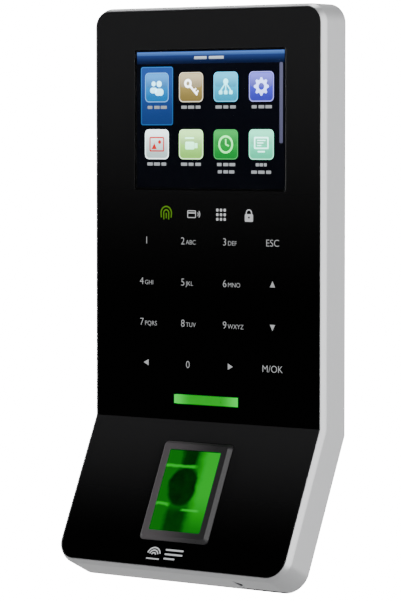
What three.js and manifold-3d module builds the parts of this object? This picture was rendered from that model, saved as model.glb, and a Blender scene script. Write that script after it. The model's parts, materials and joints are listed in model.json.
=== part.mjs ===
// Wall-mounted fingerprint terminal with a display and a touch keypad, as the pieces it comes apart into.
//
// Units are millimetres, +Z is up and the front faces -Y. The origin is the centre of the plate's back face.
// Pieces are drawn in the fold's frame: x across, d the depth behind the front face (+Y at the upper half)
// and u the height above the fold. The lower half has the same frame, turned forward about the fold by TILT.

import * as THREE from "three";
import { mergeVertices } from "three/addons/utils/BufferGeometryUtils.js";
import Module from "manifold-3d";

const wasm = await Module();
wasm.setup();

// ---------------------------------------------------------------- driving dimensions

const LENS_WIDTH = 76;
const UPPER_HEIGHT = 113.3; // the lens, from the fold to its top edge
const LOWER_LENGTH = 42.3; // the lens, from the fold down its slope
const TILT = THREE.MathUtils.degToRad(25.3);
const THICKNESS = 11.5;

const GAP = 0.1; // between pieces that sit against each other
const SLIDE_GAP = 0.3; // beside pieces that move past each other
const SMALL_RADIUS = 0.6; // least radius of an inset corner

// Frame ring
const LIP = 0.9; // face of the ring beside the lens
const CHAMFER = { width: 0.7, depth: 1.7 };
const BACK_BEVEL = { width: 0.7, depth: 0.7 };
const TOP_RADIUS = 5.3;
const BOTTOM_RADIUS = 6.2;
const RING_WALL = 2;
const LEDGE_WIDTH = 2.2; // seat behind the lens, measured in from its edge
const LEDGE_THICKNESS = 1.1;

// Lens and what shows through it
const LENS_THICKNESS = 1.6;
const SEAL_THICKNESS = 0.3;
const DISPLAY = { width: 50.1, height: 37.6, offset: 1.1, belowTop: 11.3 };
const WINDOW_MARGIN = 0.5; // clear window beyond the display's picture
const DISPLAY_FLEX = { from: 14, to: 36 }; // its ends above the display's lower edge
const LIGHT_BAR = { width: 21.7, height: 2.4, aboveFold: 4.65 };
const LIGHT_FLANGE = 1; // light guide's rim behind the lens
const LIGHT_BOARD = { side: 3, half: 3, thickness: 0.8, clear: 0.5, lampPitch: 8 };
const LCD = { width: 60.3, height: 42.7, panel: 1, tray: 1.2, below: 3.4 };
const LCD_BORDER = { side: 0.8, bottom: 2.6, top: 0.4 }; // backlight's rim beyond the panel
const BRACKET = { wall: 0.5, side: 14, end: 12, radius: 3, behind: 0.5 }; // sheet and its opening's border
const KEYPAD = { columns: 4, rows: 4, pitchX: 14.3, pitchU: 11.4, offset: 1.1, firstRow: 15.6 };
const KEYPAD_BELOW = 4.6; // board below the lowest row's middle
const KEY_LAMP = { half: 1, rise: 0.8, thickness: 0.6 };
const KEYPAD_FLEX = { x0: 8, x1: 17, above: 12 };
const COIL = { side: 5, end: 1, width: 2.4, thickness: 0.6, radius: 4 };

// Fingerprint sensor, on the lower half
const BEZEL = { width: 23.1, height: 28.8, belowFold: 6.2, raise: 1, slope: 0.95, radius: 1.1 };
const BEZEL_FACE = 0.4; // least thickness of the raised rim
const BEZEL_BORDER = { side: 2.8, end: 2.6 }; // from the bezel's edge to the finger window
const WINDOW_SUNK = 0.2;
const BEZEL_FLANGE = { width: 1.5, thickness: 0.8 };
const PRISM = { deep: 5.2, shallow: 3.4 }; // depths of its slanting back
const TUB_ROOM = { side: 4.2, bottom: 3.4, top: 2.2, behind: 4.2, radius: 1.5 }; // sensor's housing
const SENSOR_CAMERA = { base: 3.5, thickness: 0.8, radius: 2.4, bore: 1.4, short: 0.6, sight: 0.5, above: 1 };
const SENSOR_FLEX = { x0: 9, x1: 15 };

// Printed circuit boards
const BOARD_THICKNESS = 1.2;
const THIN_BOARD = 1;
const FLEX_THICKNESS = 0.2;
const BOARD = { half: 30, belowTop: 5.5, radius: 1 }; // main board
const BOARD_SPOT = { x: 27.5, clear: 0.45, belowCentre: 35 }; // its screws, beside the display's bracket
const BATTERY = { x: 2, aboveCentre: 40, radius: 5, height: 1.4 };
const BATTERY_HOLDER = { wall: 1.2, floor: 0.5, height: 1.9, radius: 2, gap: 2.5 };
const INDUCTOR = { x: -6, aboveCentre: 3, half: 3.6, corner: 1.2, base: 1, radius: 3, height: 2.2 };
const PROCESSOR = { x: 0, aboveCentre: 20, width: 14, height: 14, thickness: 1.4, legs: 8 };
const MEMORY = { x: 18, aboveCentre: 41, width: 10, height: 8, thickness: 1.2, legs: 6 };
const CHIP_LEG = { half: 0.2, thickness: 0.5, reach: 0.8, under: 0.2 };
const HEADER = { height: 6, rise: 3.6, wall: 0.7, floor: 0.8, pitch: 2, pin: 0.3, key: 1, below: 1 };
const POWER_HEADER = { x: -19, pins: 4 };
const LOCK_HEADER = { x: -8, pins: 5 };
const DATA_HEADER = { x: 5, pins: 6 };

// Back of the terminal and the wall plate
const WALL_GAP = 0.5; // ring's back edge to the wall
const COVER_FLOOR = 1.2;
const RIB = { height: 2.2, wall: 1.2 }; // round the inside of the cover's floor
const PLATE = { width: 58, height: 86, thickness: 1.5, radius: 4 };
const LIFT = 5; // travel that unhooks the terminal
const HOOK = { width: 8, x: 20, upper: 30, lower: -38, stem: 1.4, lip: 1.3, rise: 4.4 };
const CABLE_WAY = { width: 40, height: 16, belowCentre: 17, radius: 2, plateMargin: 2 };
const WALL_SLOT = { width: 4.6, height: 8, radius: 2.2, x: 10, upper: 36, lower: -35 };
const COMPONENT_ROOM = 2.5; // between the main board and the cover

// Fasteners and small moving pieces
const CASE_SCREW = { radius: 1.2, length: 6.2, head: 2.2, headHeight: 1.4 };
const BOARD_SCREW = { radius: 1, length: 3.4, head: 1.9, headHeight: 1.1 };
const SECURITY_SCREW = { radius: 1.45, length: 11.4, head: 2.6, headHeight: 1.9, travel: 4.2 };
const WASHER_THICKNESS = 0.5;
const CROSS = { depth: 0.8, reach: 0.65, slit: 0.13 }; // recess: reach and slit are shares of a head's radius
const STAR = { depth: 0.8, outer: 0.52, inner: 0.38, pin: 0.35, lobes: 6 }; // shares of the head's radius
const PLUNGER = { radius: 1.7, flange: 2.5, flangeHeight: 0.5, travel: 1.3, bore: 1.1, end: 1.4 };
const TAMPER_SWITCH = { half: 3.6, corner: 0.8, base: 0.4, guide: 3.5, height: 1.6 };
const SPRING = { radius: 0.8, wire: 0.13, turns: 4, clear: 0.25 };
const RESET = { radius: 1.1, travel: 0.3, body: 2.3, height: 1.3, floor: 0.5, pinhole: 0.9 };
const USB = { x: 27, width: 13.1, height: 5.7, length: 13.6, wall: 0.35, depth: 6.9 };
const USB_TONGUE = { block: 4, half: 5.55, aside: 0.4, thickness: 1.8, short: 0.6 };
const USB_BOARD = { thickness: 0.8, side: 1.6, length: 20, clear: 1 };
const USB_FLEX = { x0: 18.5, x1: 24 };
const USB_COVER = { thickness: 1.2, barrel: 0.7, pin: 0.4, bore: 0.48, notch: 1.6, notchOut: 0.2 };

// ---------------------------------------------------------------- derived places

const FRAME_HALF = LENS_WIDTH / 2 + GAP + LIP;
const FRAME_TOP = UPPER_HEIGHT + GAP + LIP;
const FRAME_BOTTOM = LOWER_LENGTH + GAP + LIP;
const LENS_INSET = LIP + GAP;
const LEDGE_FRONT = LENS_THICKNESS + SEAL_THICKNESS + 2 * GAP;
const LEDGE_BACK = LEDGE_FRONT + LEDGE_THICKNESS;
const LEDGE_INSET = LENS_INSET + LEDGE_WIDTH;
const COVER_INSET = RING_WALL + GAP;
const WALL_D = THICKNESS + WALL_GAP;
const PLATE_FRONT = WALL_D - PLATE.thickness;
const RECESS_D = PLATE_FRONT - SLIDE_GAP;
const FLOOR_INNER = THICKNESS - COVER_FLOOR;
const PAD_FLOOR = 1; // cover left over the wall plate's recess
const PAD_INNER = RECESS_D - PAD_FLOOR;
const CENTRE_U = UPPER_HEIGHT / 2; // wall plate's centre
const PLATE_BOTTOM = CENTRE_U - PLATE.height / 2;
const BOARD_BACK = PAD_INNER - COMPONENT_ROOM;
const BOARD_FRONT = BOARD_BACK - BOARD_THICKNESS;
const DISPLAY_TOP = UPPER_HEIGHT - DISPLAY.belowTop;
const DISPLAY_BOTTOM = DISPLAY_TOP - DISPLAY.height;
const INSIDE_FRONT = LENS_THICKNESS + SLIDE_GAP; // first depth free for parts behind the lens
const LCD_BOTTOM = DISPLAY_BOTTOM - LCD.below;
const LCD_TOP = LCD_BOTTOM + LCD.height;
const LIGHT_BACK = INSIDE_FRONT + LIGHT_FLANGE;
const INDICATOR_BACK = LIGHT_BACK + LIGHT_BOARD.clear + LIGHT_BOARD.thickness;
const BEZEL_TOP = -BEZEL.belowFold;
const BEZEL_CENTRE = BEZEL_TOP - BEZEL.height / 2;
const FINE = 5; // quarter-circle steps of an outer corner
const COARSE = 3;
// Sides of round pieces
const ROUND = 12;
const SIDES = { pin: 8, shank: 10, head: 14, hole: 16, part: 20, ring: 22, bore: 24, coin: 32 };

// ---------------------------------------------------------------- solids

const MERGE = 1e-4;
const BITE = 0.5; // how far two solids of one piece run into each other
const PAST = 1; // how far a cutting solid runs past a face
const FAR = 20; // beyond every piece
const X_AXIS = new THREE.Vector3(1, 0, 0);

/** A closed manifold solid of a three.js geometry. */
function solidOf(geometry) {
  const bare = new THREE.BufferGeometry();
  bare.setAttribute("position", geometry.getAttribute("position"));
  if (geometry.index) bare.setIndex(geometry.index);
  const merged = mergeVertices(bare, MERGE);
  const vertProperties = new Float32Array(merged.attributes.position.array);
  const triVerts = new Uint32Array(merged.index.array);
  return new wasm.Manifold(new wasm.Mesh({ numProp: 3, vertProperties, triVerts }));
}

/** A three.js geometry of a manifold solid, with a flat normal on each face. */
function geometryOf(solid) {
  const { vertProperties, triVerts } = solid.getMesh();
  const geometry = new THREE.BufferGeometry();
  geometry.setAttribute("position", new THREE.BufferAttribute(new Float32Array(vertProperties), 3));
  geometry.setIndex(new THREE.BufferAttribute(new Uint32Array(triVerts), 1));
  const flat = geometry.toNonIndexed();
  flat.computeVertexNormals();
  return flat;
}

const join = (first, ...rest) => rest.reduce((sum, solid) => sum.add(solid), first);
const cut = (first, ...tools) => tools.reduce((left, tool) => left.subtract(tool), first);

function box(x0, x1, d0, d1, u0, u1) {
  const geometry = new THREE.BoxGeometry(x1 - x0, d1 - d0, u1 - u0);
  return solidOf(geometry.translate((x0 + x1) / 2, (d0 + d1) / 2, (u0 + u1) / 2));
}

/** A rod along the depth. */
function rod(x, u, radius, d0, d1, sides = ROUND) {
  const geometry = new THREE.CylinderGeometry(radius, radius, d1 - d0, sides);
  return solidOf(geometry.translate(x, (d0 + d1) / 2, u));
}

/** A rod that stands upright. */
function post(x, d, radius, u0, u1, sides = ROUND) {
  const geometry = new THREE.CylinderGeometry(radius, radius, u1 - u0, sides).rotateX(Math.PI / 2);
  return solidOf(geometry.translate(x, d, (u0 + u1) / 2));
}

/** A rod along x. */
function pin(d, u, radius, x0, x1, sides = SIDES.hole) {
  const geometry = new THREE.CylinderGeometry(radius, radius, x1 - x0, sides).rotateZ(Math.PI / 2);
  return solidOf(geometry.translate((x0 + x1) / 2, d, u));
}

/** A shape drawn in x and u, as a slab from depth d0 to d1. */
function slab(shape, d0, d1, steps = COARSE) {
  const geometry = new THREE.ExtrudeGeometry(shape, {
    depth: d1 - d0,
    bevelEnabled: false,
    curveSegments: steps,
  });
  return solidOf(geometry.rotateX(Math.PI / 2).translate(0, d1, 0));
}

/** A shape drawn in d and u, extruded across from x0 to x1. */
function across(points, x0, x1) {
  const shape = new THREE.Shape(points.map(([d, u]) => new THREE.Vector2(d, u)));
  const geometry = new THREE.ExtrudeGeometry(shape, { depth: x1 - x0, bevelEnabled: false });
  const turn = new THREE.Matrix4().makeBasis(
    new THREE.Vector3(0, 1, 0),
    new THREE.Vector3(0, 0, 1),
    new THREE.Vector3(1, 0, 0),
  );
  return solidOf(geometry.applyMatrix4(turn).translate(x0, 0, 0));
}

function roundedRectangle(x0, x1, u0, u1, radius) {
  const shape = new THREE.Shape();
  const quarter = Math.PI / 2;
  shape.moveTo(x0 + radius, u0);
  shape.lineTo(x1 - radius, u0);
  shape.absarc(x1 - radius, u0 + radius, radius, -quarter, 0);
  shape.lineTo(x1, u1 - radius);
  shape.absarc(x1 - radius, u1 - radius, radius, 0, quarter);
  shape.lineTo(x0 + radius, u1);
  shape.absarc(x0 + radius, u1 - radius, radius, quarter, 2 * quarter);
  shape.lineTo(x0, u0 + radius);
  shape.absarc(x0 + radius, u0 + radius, radius, 2 * quarter, 3 * quarter);
  shape.closePath();
  return shape;
}

const roundedSlab = (x0, x1, u0, u1, radius, d0, d1) =>
  slab(roundedRectangle(x0, x1, u0, u1, radius), d0, d1);

/** A flat strip of the given thickness that follows a smooth line through 2D points. */
function ribbonShape(points, thickness, steps = 18) {
  const curve = new THREE.SplineCurve(points.map(([a, b]) => new THREE.Vector2(a, b)));
  const one = [];
  const other = [];
  for (let i = 0; i <= steps; i++) {
    const at = curve.getPointAt(i / steps);
    const along = curve.getTangentAt(i / steps);
    const aside = new THREE.Vector2(-along.y, along.x).multiplyScalar(thickness / 2);
    one.push(at.clone().add(aside));
    other.unshift(at.clone().sub(aside));
  }
  return new THREE.Shape([...one, ...other]);
}

/** A ribbon cable whose line is drawn in d and u. */
function flexAcross(points, x0, x1) {
  const outline = ribbonShape(points, FLEX_THICKNESS).getPoints();
  return across(outline.map((p) => [p.x, p.y]), x0, x1);
}

/** A round section that follows a 3D curve. */
function tube(curve, radius, steps, sides) {
  const section = new THREE.Shape();
  for (let i = 0; i < sides; i++) {
    const turn = (i / sides) * 2 * Math.PI;
    const place = [radius * Math.cos(turn), radius * Math.sin(turn)];
    if (i) section.lineTo(...place);
    else section.moveTo(...place);
  }
  section.closePath();
  const options = { steps, bevelEnabled: false, extrudePath: curve };
  return solidOf(new THREE.ExtrudeGeometry(section, options));
}

// ---------------------------------------------------------------- the folded slab

const intoLower = (solid) => solid.rotate([THREE.MathUtils.radToDeg(-TILT), 0, 0]);

/** Outline of one half, its straight end past the fold. side is 1 for the upper half, -1 for the lower. */
function halfOutline(inset, side) {
  const half = FRAME_HALF - inset;
  const [end, corner] = side > 0 ? [FRAME_TOP, TOP_RADIUS] : [FRAME_BOTTOM, BOTTOM_RADIUS];
  const radius = Math.max(corner - inset, SMALL_RADIUS);
  const shape = new THREE.Shape();
  shape.moveTo(half, -side);
  shape.lineTo(half, side * (end - inset - radius));
  shape.absarc(half - radius, side * (end - inset - radius), radius, 0, (side * Math.PI) / 2, side < 0);
  shape.lineTo(radius - half, side * (end - inset));
  const start = (side * Math.PI) / 2;
  shape.absarc(radius - half, side * (end - inset - radius), radius, start, side * Math.PI, side < 0);
  shape.lineTo(-half, -side);
  shape.closePath();
  return shape;
}

/** Folds a flat half: points past the fold go to the plane that halves it, and the lower half turns. */
function foldPoints(geometry, side) {
  const at = geometry.getAttribute("position");
  const point = new THREE.Vector3();
  for (let i = 0; i < at.count; i++) {
    point.fromBufferAttribute(at, i);
    if (side * point.z <= 0) {
      point.x = Math.round(point.x / MERGE) * MERGE;
      point.z = -point.y * Math.tan(TILT / 2);
    } else if (side < 0) {
      point.applyAxisAngle(X_AXIS, -TILT);
    }
    at.setXYZ(i, point.x, point.y, point.z);
  }
  return geometry;
}

/** One half of the folded slab between two depths, with both of its rims beveled where bevel is given. */
function halfSlab(inset, d0, d1, side, bevel) {
  const { width, depth } = bevel ?? { width: 0, depth: 0 };
  const geometry = new THREE.ExtrudeGeometry(halfOutline(inset + width, side), {
    depth: d1 - d0 - 2 * depth,
    bevelEnabled: Boolean(bevel),
    bevelSize: width,
    bevelThickness: depth,
    bevelSegments: 1,
    curveSegments: FINE,
  });
  return solidOf(foldPoints(geometry.rotateX(Math.PI / 2).translate(0, d1 - depth, 0), side));
}

/** The terminal's folded outline, set in by inset, as a slab between two depths. */
const foldedSlab = (inset, d0, d1, bevel) =>
  halfSlab(inset, d0, d1, 1, bevel).add(halfSlab(inset, d0, d1, -1, bevel));

// ---------------------------------------------------------------- fixings shared by the ring and the cover

const BOSS = { radius: 3, bite: 0.2, belowTop: 6.7, aboveFold: 4, beside: 0.55 };
const FLANGE_HALF = BEZEL.width / 2 + BEZEL_FLANGE.width;
const SIDE_BOSS = FRAME_HALF - RING_WALL - BOSS.radius + BOSS.bite;
const LOW_BOSS = BOSS.radius + RING_WALL - BOSS.bite - FRAME_BOTTOM;
const CASE_SCREW_SPOTS = [
  { x: SIDE_BOSS, u: FRAME_TOP - BOSS.belowTop, lower: false },
  { x: SIDE_BOSS, u: BOSS.aboveFold, lower: false },
  { x: FLANGE_HALF + BOSS.radius + BOSS.beside, u: LOW_BOSS, lower: true },
];
const SCREW_SPOTS = CASE_SCREW_SPOTS.flatMap((spot) => [spot, { ...spot, x: -spot.x }]);
const SCREW_SEAT = THICKNESS - CASE_SCREW.headHeight - GAP; // depth of the face under a case screw's head
const SCREW_PAD = 1.4; // cover left under that face
const BOSS_END = SCREW_SEAT - SCREW_PAD - GAP;
const BOARD_ROWS = [
  LCD_TOP + GAP + BRACKET.wall + BOARD_SCREW.head + BOARD_SPOT.clear,
  CENTRE_U - BOARD_SPOT.belowCentre,
];
const BOARD_SPOTS = BOARD_ROWS.flatMap((u) => [
  [BOARD_SPOT.x, u],
  [-BOARD_SPOT.x, u],
]);
const STANDOFF_RADIUS = 2.6;

/** A solid for each case screw's spot, in the fold's frame. */
const atScrews = (make) =>
  SCREW_SPOTS.map(({ x, u, lower }) => (lower ? intoLower(make(x, u)) : make(x, u)));

// Port in the bottom wall, in the lower half's frame
const PORT_MARGIN = { side: 0.35, front: 0.45, back: 0.55 }; // opening beyond the socket
const PORT = {
  x0: USB.x - USB.width / 2 - PORT_MARGIN.side,
  x1: USB.x + USB.width / 2 + PORT_MARGIN.side,
  d0: USB.depth - USB.height / 2 - PORT_MARGIN.front,
  d1: USB.depth + USB.height / 2 + PORT_MARGIN.back,
};
const PORT_HINGE = { d: PORT.d1 - GAP - USB_COVER.barrel, u: -(FRAME_BOTTOM - USB_COVER.barrel - GAP) };
const COVER_LIP = { half: 31, thickness: 1.5, proud: 0.7, short: 0.4, root: 4 };
const COVER_LIP_FRONT = THICKNESS + COVER_LIP.proud - COVER_LIP.thickness; // dark strip along the bottom edge

// Security screw, upright behind the fold
const SCREW_D = WALL_D - 3.8;
const TAB = { half: 5.5, reach: 5.8, thickness: 1.4, back: 0.5 };
const SHELF_TOP = PLATE_BOTTOM - LIFT - SLIDE_GAP;
const SHELF = 2.6;
const HEAD_TOP = SHELF_TOP - SHELF - GAP - WASHER_THICKNESS - GAP;
const POCKET_ROOM = { side: 0.7, front: 0.4, top: 0.8 }; // round the tab and the screw's end
const POCKET = {
  half: TAB.half + POCKET_ROOM.side,
  wall: 1.1,
  top: HEAD_TOP + SECURITY_SCREW.length + POCKET_ROOM.top,
};
const POCKET_FRONT = WALL_D - TAB.reach - POCKET_ROOM.front;
const DRIVER_BORE = SECURITY_SCREW.head + SLIDE_GAP;
const DRIVER_WALL = 1;
const RETAINER = { height: 0.8, hole: 1.9 };
const RETAINER_TOP = HEAD_TOP - SECURITY_SCREW.headHeight - SECURITY_SCREW.travel - SLIDE_GAP;

// Switches and speaker
const TAMPER = { x: 22, u: CENTRE_U + 16 };
const RESET_SPOT = { x: 22, u: CENTRE_U + 3 };
const SPEAKER = { x: -25.5, u: -22, radius: 8.5, height: 3.6, sides: 22 };
const SPEAKER_SEAT = { wall: 1.4, height: 3, gasket: 0.8, width: 2 };
const GRILLE = { ring: 3.4, holes: 6, radius: 0.9 };

// ---------------------------------------------------------------- casing

function frameRing() {
  const outer = foldedSlab(0, 0, THICKNESS + FAR, CHAMFER).intersect(
    foldedSlab(0, -FAR, THICKNESS, BACK_BEVEL),
  );
  const hollow = cut(
    outer,
    foldedSlab(LIP, -PAST, LEDGE_FRONT),
    foldedSlab(LEDGE_INSET, -PAST, THICKNESS + PAST),
    foldedSlab(RING_WALL, LEDGE_BACK, THICKNESS + PAST),
  );
  const bosses = atScrews((x, u) => rod(x, u, BOSS.radius, LEDGE_FRONT, BOSS_END));
  const bores = atScrews((x, u) => rod(x, u, CASE_SCREW.radius + GAP, LEDGE_BACK, BOSS_END + PAST));
  const [below, above] = [-FRAME_BOTTOM - PAST, RING_WALL + PAST - FRAME_BOTTOM];
  const port = box(PORT.x0, PORT.x1, PORT.d0, COVER_LIP_FRONT, below, above);
  const hingeHole = pin(PORT_HINGE.d, PORT_HINGE.u, USB_COVER.pin + GAP, PORT.x0 - PAST, PORT.x1 + PAST);
  const lipHalf = COVER_LIP.half + GAP;
  const lipSeat = box(-lipHalf, lipHalf, COVER_LIP_FRONT - GAP, THICKNESS + PAST, below, above);
  return cut(join(hollow, ...bosses), ...bores, intoLower(port), intoLower(hingeHole), intoLower(lipSeat));
}

function frontLens() {
  const display = displayWindow(GAP, PAST);
  const lightSlot = lightGuideFace(GAP, PAST);
  const sensor = bezelBody(GAP, PAST);
  return cut(foldedSlab(LENS_INSET, 0, LENS_THICKNESS), display, lightSlot, intoLower(sensor));
}

/** The clear window over the display, grown by grow all round and by past at both faces. */
function displayWindow(grow = 0, past = 0) {
  const half = DISPLAY.width / 2 + WINDOW_MARGIN + grow;
  const top = DISPLAY_TOP + WINDOW_MARGIN + grow;
  const bottom = DISPLAY_BOTTOM - WINDOW_MARGIN - grow;
  const middle = DISPLAY.offset;
  return roundedSlab(middle - half, middle + half, bottom, top, SMALL_RADIUS, -past, LENS_THICKNESS + past);
}

function lensSeal() {
  const front = LENS_THICKNESS + GAP;
  const ring = foldedSlab(LENS_INSET + GAP, front, front + SEAL_THICKNESS);
  return cut(ring, foldedSlab(LEDGE_INSET - GAP, front - PAST, front + PAST));
}

/** The bore for the security screw's driver, grown by grow, from the bottom edge up to a height. */
const driverBore = (grow, top) => post(0, SCREW_D, DRIVER_BORE + grow, -FRAME_BOTTOM, top, SIDES.hole);

/** Case, speaker and board features that stand on the inside of the cover's floor. */
function coverInside() {
  const padHalf = PLATE.width / 2 + SLIDE_GAP + COVER_FLOOR;
  const padTop = PLATE_BOTTOM + PLATE.height + SLIDE_GAP + COVER_FLOOR;
  const pad = box(-padHalf, padHalf, PAD_INNER, FLOOR_INNER + BITE, SHELF_TOP - COVER_FLOOR, padTop);
  const outerHalf = POCKET.half + POCKET.wall;
  const pocketFront = POCKET_FRONT - POCKET.wall;
  const pocketTop = POCKET.top + POCKET.wall;
  const pocketWalls = box(-outerHalf, outerHalf, pocketFront, THICKNESS, SHELF_TOP - SHELF, pocketTop);
  const behindLights = box(-FAR, FAR, INDICATOR_BACK + GAP, FAR, -FRAME_BOTTOM, SHELF_TOP);
  const driverTube = driverBore(DRIVER_WALL, SHELF_TOP).intersect(behindLights);
  const side = FRAME_HALF - COVER_INSET;
  const insideRing = box(-side, side, 0, FAR, COVER_INSET - FRAME_BOTTOM, FRAME_TOP);
  const screwPads = atScrews((x, u) =>
    rod(x, u, BOSS.radius + BITE, SCREW_SEAT - SCREW_PAD, THICKNESS).intersect(insideRing),
  );
  const standoffs = BOARD_SPOTS.map(([x, u]) =>
    rod(x, u, STANDOFF_RADIUS, BOARD_BACK + GAP, FLOOR_INNER + BITE),
  );
  const { x, u, radius, sides } = SPEAKER;
  const ringFront = FLOOR_INNER - SPEAKER_SEAT.height;
  const speakerRing = cut(
    rod(x, u, radius + SPEAKER_SEAT.wall, ringFront, FLOOR_INNER + BITE, sides),
    rod(x, u, radius + SLIDE_GAP, ringFront - PAST, FLOOR_INNER, sides),
  );
  return join(pad, pocketWalls, driverTube, ...screwPads, ...standoffs, intoLower(speakerRing));
}

/** The opening for the cables in the cover, or, with a margin, in the wall plate. */
function cableWay(margin, d0, d1) {
  const half = CABLE_WAY.width / 2 + margin;
  const middle = CENTRE_U - CABLE_WAY.belowCentre;
  const rise = CABLE_WAY.height / 2 + margin;
  return roundedSlab(-half, half, middle - rise, middle + rise, CABLE_WAY.radius, d0, d1);
}

/** The holes in front of the speaker: one in a ring of others, from depth d0 to d1. */
function grille(d0, d1) {
  const spots = [[0, 0]];
  for (let i = 0; i < GRILLE.holes; i++) {
    const turn = (i / GRILLE.holes) * 2 * Math.PI;
    spots.push([GRILLE.ring * Math.cos(turn), GRILLE.ring * Math.sin(turn)]);
  }
  return spots.map(([x, u]) => rod(SPEAKER.x + x, SPEAKER.u + u, GRILLE.radius, d0, d1, SIDES.pin));
}

/** Everything that is cut through, or sunk into, the cover from behind. */
function coverCuts() {
  const back = THICKNESS + 2 * PAST;
  const front = PAD_INNER - PAST;
  const half = PLATE.width / 2 + SLIDE_GAP;
  const recessTop = PLATE_BOTTOM + PLATE.height + SLIDE_GAP;
  const recess = roundedSlab(-half, half, SHELF_TOP, recessTop, PLATE.radius, RECESS_D, back);
  const slotHalf = HOOK.width / 2 + SLIDE_GAP;
  const slots = hookSpots().map(([x, u]) =>
    box(x - slotHalf, x + slotHalf, front, back, u - LIFT - SLIDE_GAP, u + HOOK.stem + GAP),
  );
  const pocket = box(-POCKET.half, POCKET.half, POCKET_FRONT, back, SHELF_TOP, POCKET.top);
  const shank = SECURITY_SCREW.radius + SLIDE_GAP;
  const shankHole = post(0, SCREW_D, shank, SHELF_TOP - SHELF - PAST, SHELF_TOP + PAST);
  const tamperHole = rod(TAMPER.x, TAMPER.u, PLUNGER.radius + SLIDE_GAP, front, back);
  const resetHole = rod(RESET_SPOT.x, RESET_SPOT.u, RESET.pinhole, front, back, SIDES.hole);
  const heads = atScrews((x, u) => rod(x, u, CASE_SCREW.head + SLIDE_GAP, SCREW_SEAT, back));
  const shanks = atScrews((x, u) => rod(x, u, CASE_SCREW.radius + SLIDE_GAP, BOSS_END - PAST, back));
  const boreEnd = BOARD_FRONT + BOARD_SCREW.length + SLIDE_GAP;
  const boardBores = BOARD_SPOTS.map(([x, u]) => rod(x, u, BOARD_SCREW.radius + GAP, BOARD_BACK, boreEnd));
  return [
    recess,
    ...slots,
    cableWay(0, front, back),
    pocket,
    shankHole,
    driverBore(0, SHELF_TOP - SHELF),
    tamperHole,
    resetHole,
    ...heads,
    ...shanks,
    ...boardBores,
    ...grille(FLOOR_INNER - PAST, back).map(intoLower),
  ];
}

function rearCover() {
  const floor = foldedSlab(COVER_INSET, FLOOR_INNER, THICKNESS);
  const ribFront = FLOOR_INNER - RIB.height;
  const { x0, x1 } = PORT;
  const socketRoom = box(x0 - PAST, x1 + PAST, ribFront - PAST, FLOOR_INNER, -FRAME_BOTTOM, LOW_BOSS);
  const rib = cut(
    foldedSlab(COVER_INSET, ribFront, FLOOR_INNER + BITE),
    foldedSlab(COVER_INSET + RIB.wall, ribFront - PAST, FLOOR_INNER),
    ...atScrews((x, u) => rod(x, u, BOSS.radius + SLIDE_GAP, ribFront - PAST, BOSS_END + GAP)),
    intoLower(socketRoom),
  );
  const inside = coverInside().intersect(foldedSlab(COVER_INSET, 0, THICKNESS));
  const { half, proud, short, root } = COVER_LIP;
  const [lipLow, lipHigh] = [short - FRAME_BOTTOM, COVER_INSET + root - FRAME_BOTTOM];
  const lip = box(-half, half, COVER_LIP_FRONT, THICKNESS + proud, lipLow, lipHigh);
  return cut(join(floor, rib, inside, intoLower(lip)), ...coverCuts());
}

// ---------------------------------------------------------------- wall plate

const HOOK_WINDOW = { side: 0.4, above: 2.8 }; // where the sheet of each hook was cut from

const hookSpots = () =>
  [HOOK.upper, HOOK.lower].flatMap((u) => [
    [HOOK.x, CENTRE_U + u],
    [-HOOK.x, CENTRE_U + u],
  ]);

function wallPlate() {
  const half = PLATE.width / 2;
  const top = PLATE_BOTTOM + PLATE.height;
  const sheet = roundedSlab(-half, half, PLATE_BOTTOM, top, PLATE.radius, PLATE_FRONT, WALL_D);
  const lipBack = PAD_INNER - SLIDE_GAP;
  const lipFront = lipBack - HOOK.lip;
  const hooks = hookSpots().flatMap(([x, u]) => {
    const [x0, x1] = [x - HOOK.width / 2, x + HOOK.width / 2];
    return [
      box(x0, x1, lipFront, PLATE_FRONT + BITE, u, u + HOOK.stem),
      box(x0, x1, lipFront, lipBack, u, u + HOOK.rise),
    ];
  });
  const [tabFront, tabBack] = [WALL_D - TAB.reach, WALL_D - TAB.back];
  const tab = box(-TAB.half, TAB.half, tabFront, tabBack, PLATE_BOTTOM, PLATE_BOTTOM + TAB.thickness);
  const [d0, d1] = [PLATE_FRONT - PAST, WALL_D + PAST];
  const windowHalf = HOOK.width / 2 + HOOK_WINDOW.side;
  const hookWindows = hookSpots().map(([x, u]) =>
    box(x - windowHalf, x + windowHalf, d0, d1, u + HOOK.stem, u + HOOK.rise + HOOK_WINDOW.above),
  );
  const slotHalf = PLUNGER.radius + 2 * SLIDE_GAP;
  const { x, u } = TAMPER;
  const [slotLow, slotHigh] = [u - slotHalf, u + LIFT + slotHalf];
  const tamperSlot = roundedSlab(x - slotHalf, x + slotHalf, slotLow, slotHigh, slotHalf - GAP, d0, d1);
  const tabTop = PLATE_BOTTOM + TAB.thickness + PAST;
  const screwHole = post(0, SCREW_D, SECURITY_SCREW.radius + GAP, PLATE_BOTTOM - PAST, tabTop);
  return cut(
    join(sheet, ...hooks, tab),
    ...hookWindows,
    cableWay(CABLE_WAY.plateMargin, d0, d1),
    tamperSlot,
    ...wallSlots(d0, d1),
    screwHole,
  );
}

/** Upright slots for the wall screws, two in each row. */
function wallSlots(d0, d1) {
  const { width, height, radius } = WALL_SLOT;
  return [WALL_SLOT.upper, WALL_SLOT.lower].flatMap((row) =>
    [-WALL_SLOT.x, WALL_SLOT.x].map((x) => {
      const u = CENTRE_U + row;
      return roundedSlab(x - width / 2, x + width / 2, u - height / 2, u + height / 2, radius, d0, d1);
    }),
  );
}

// ---------------------------------------------------------------- display, keypad and light bar

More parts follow.
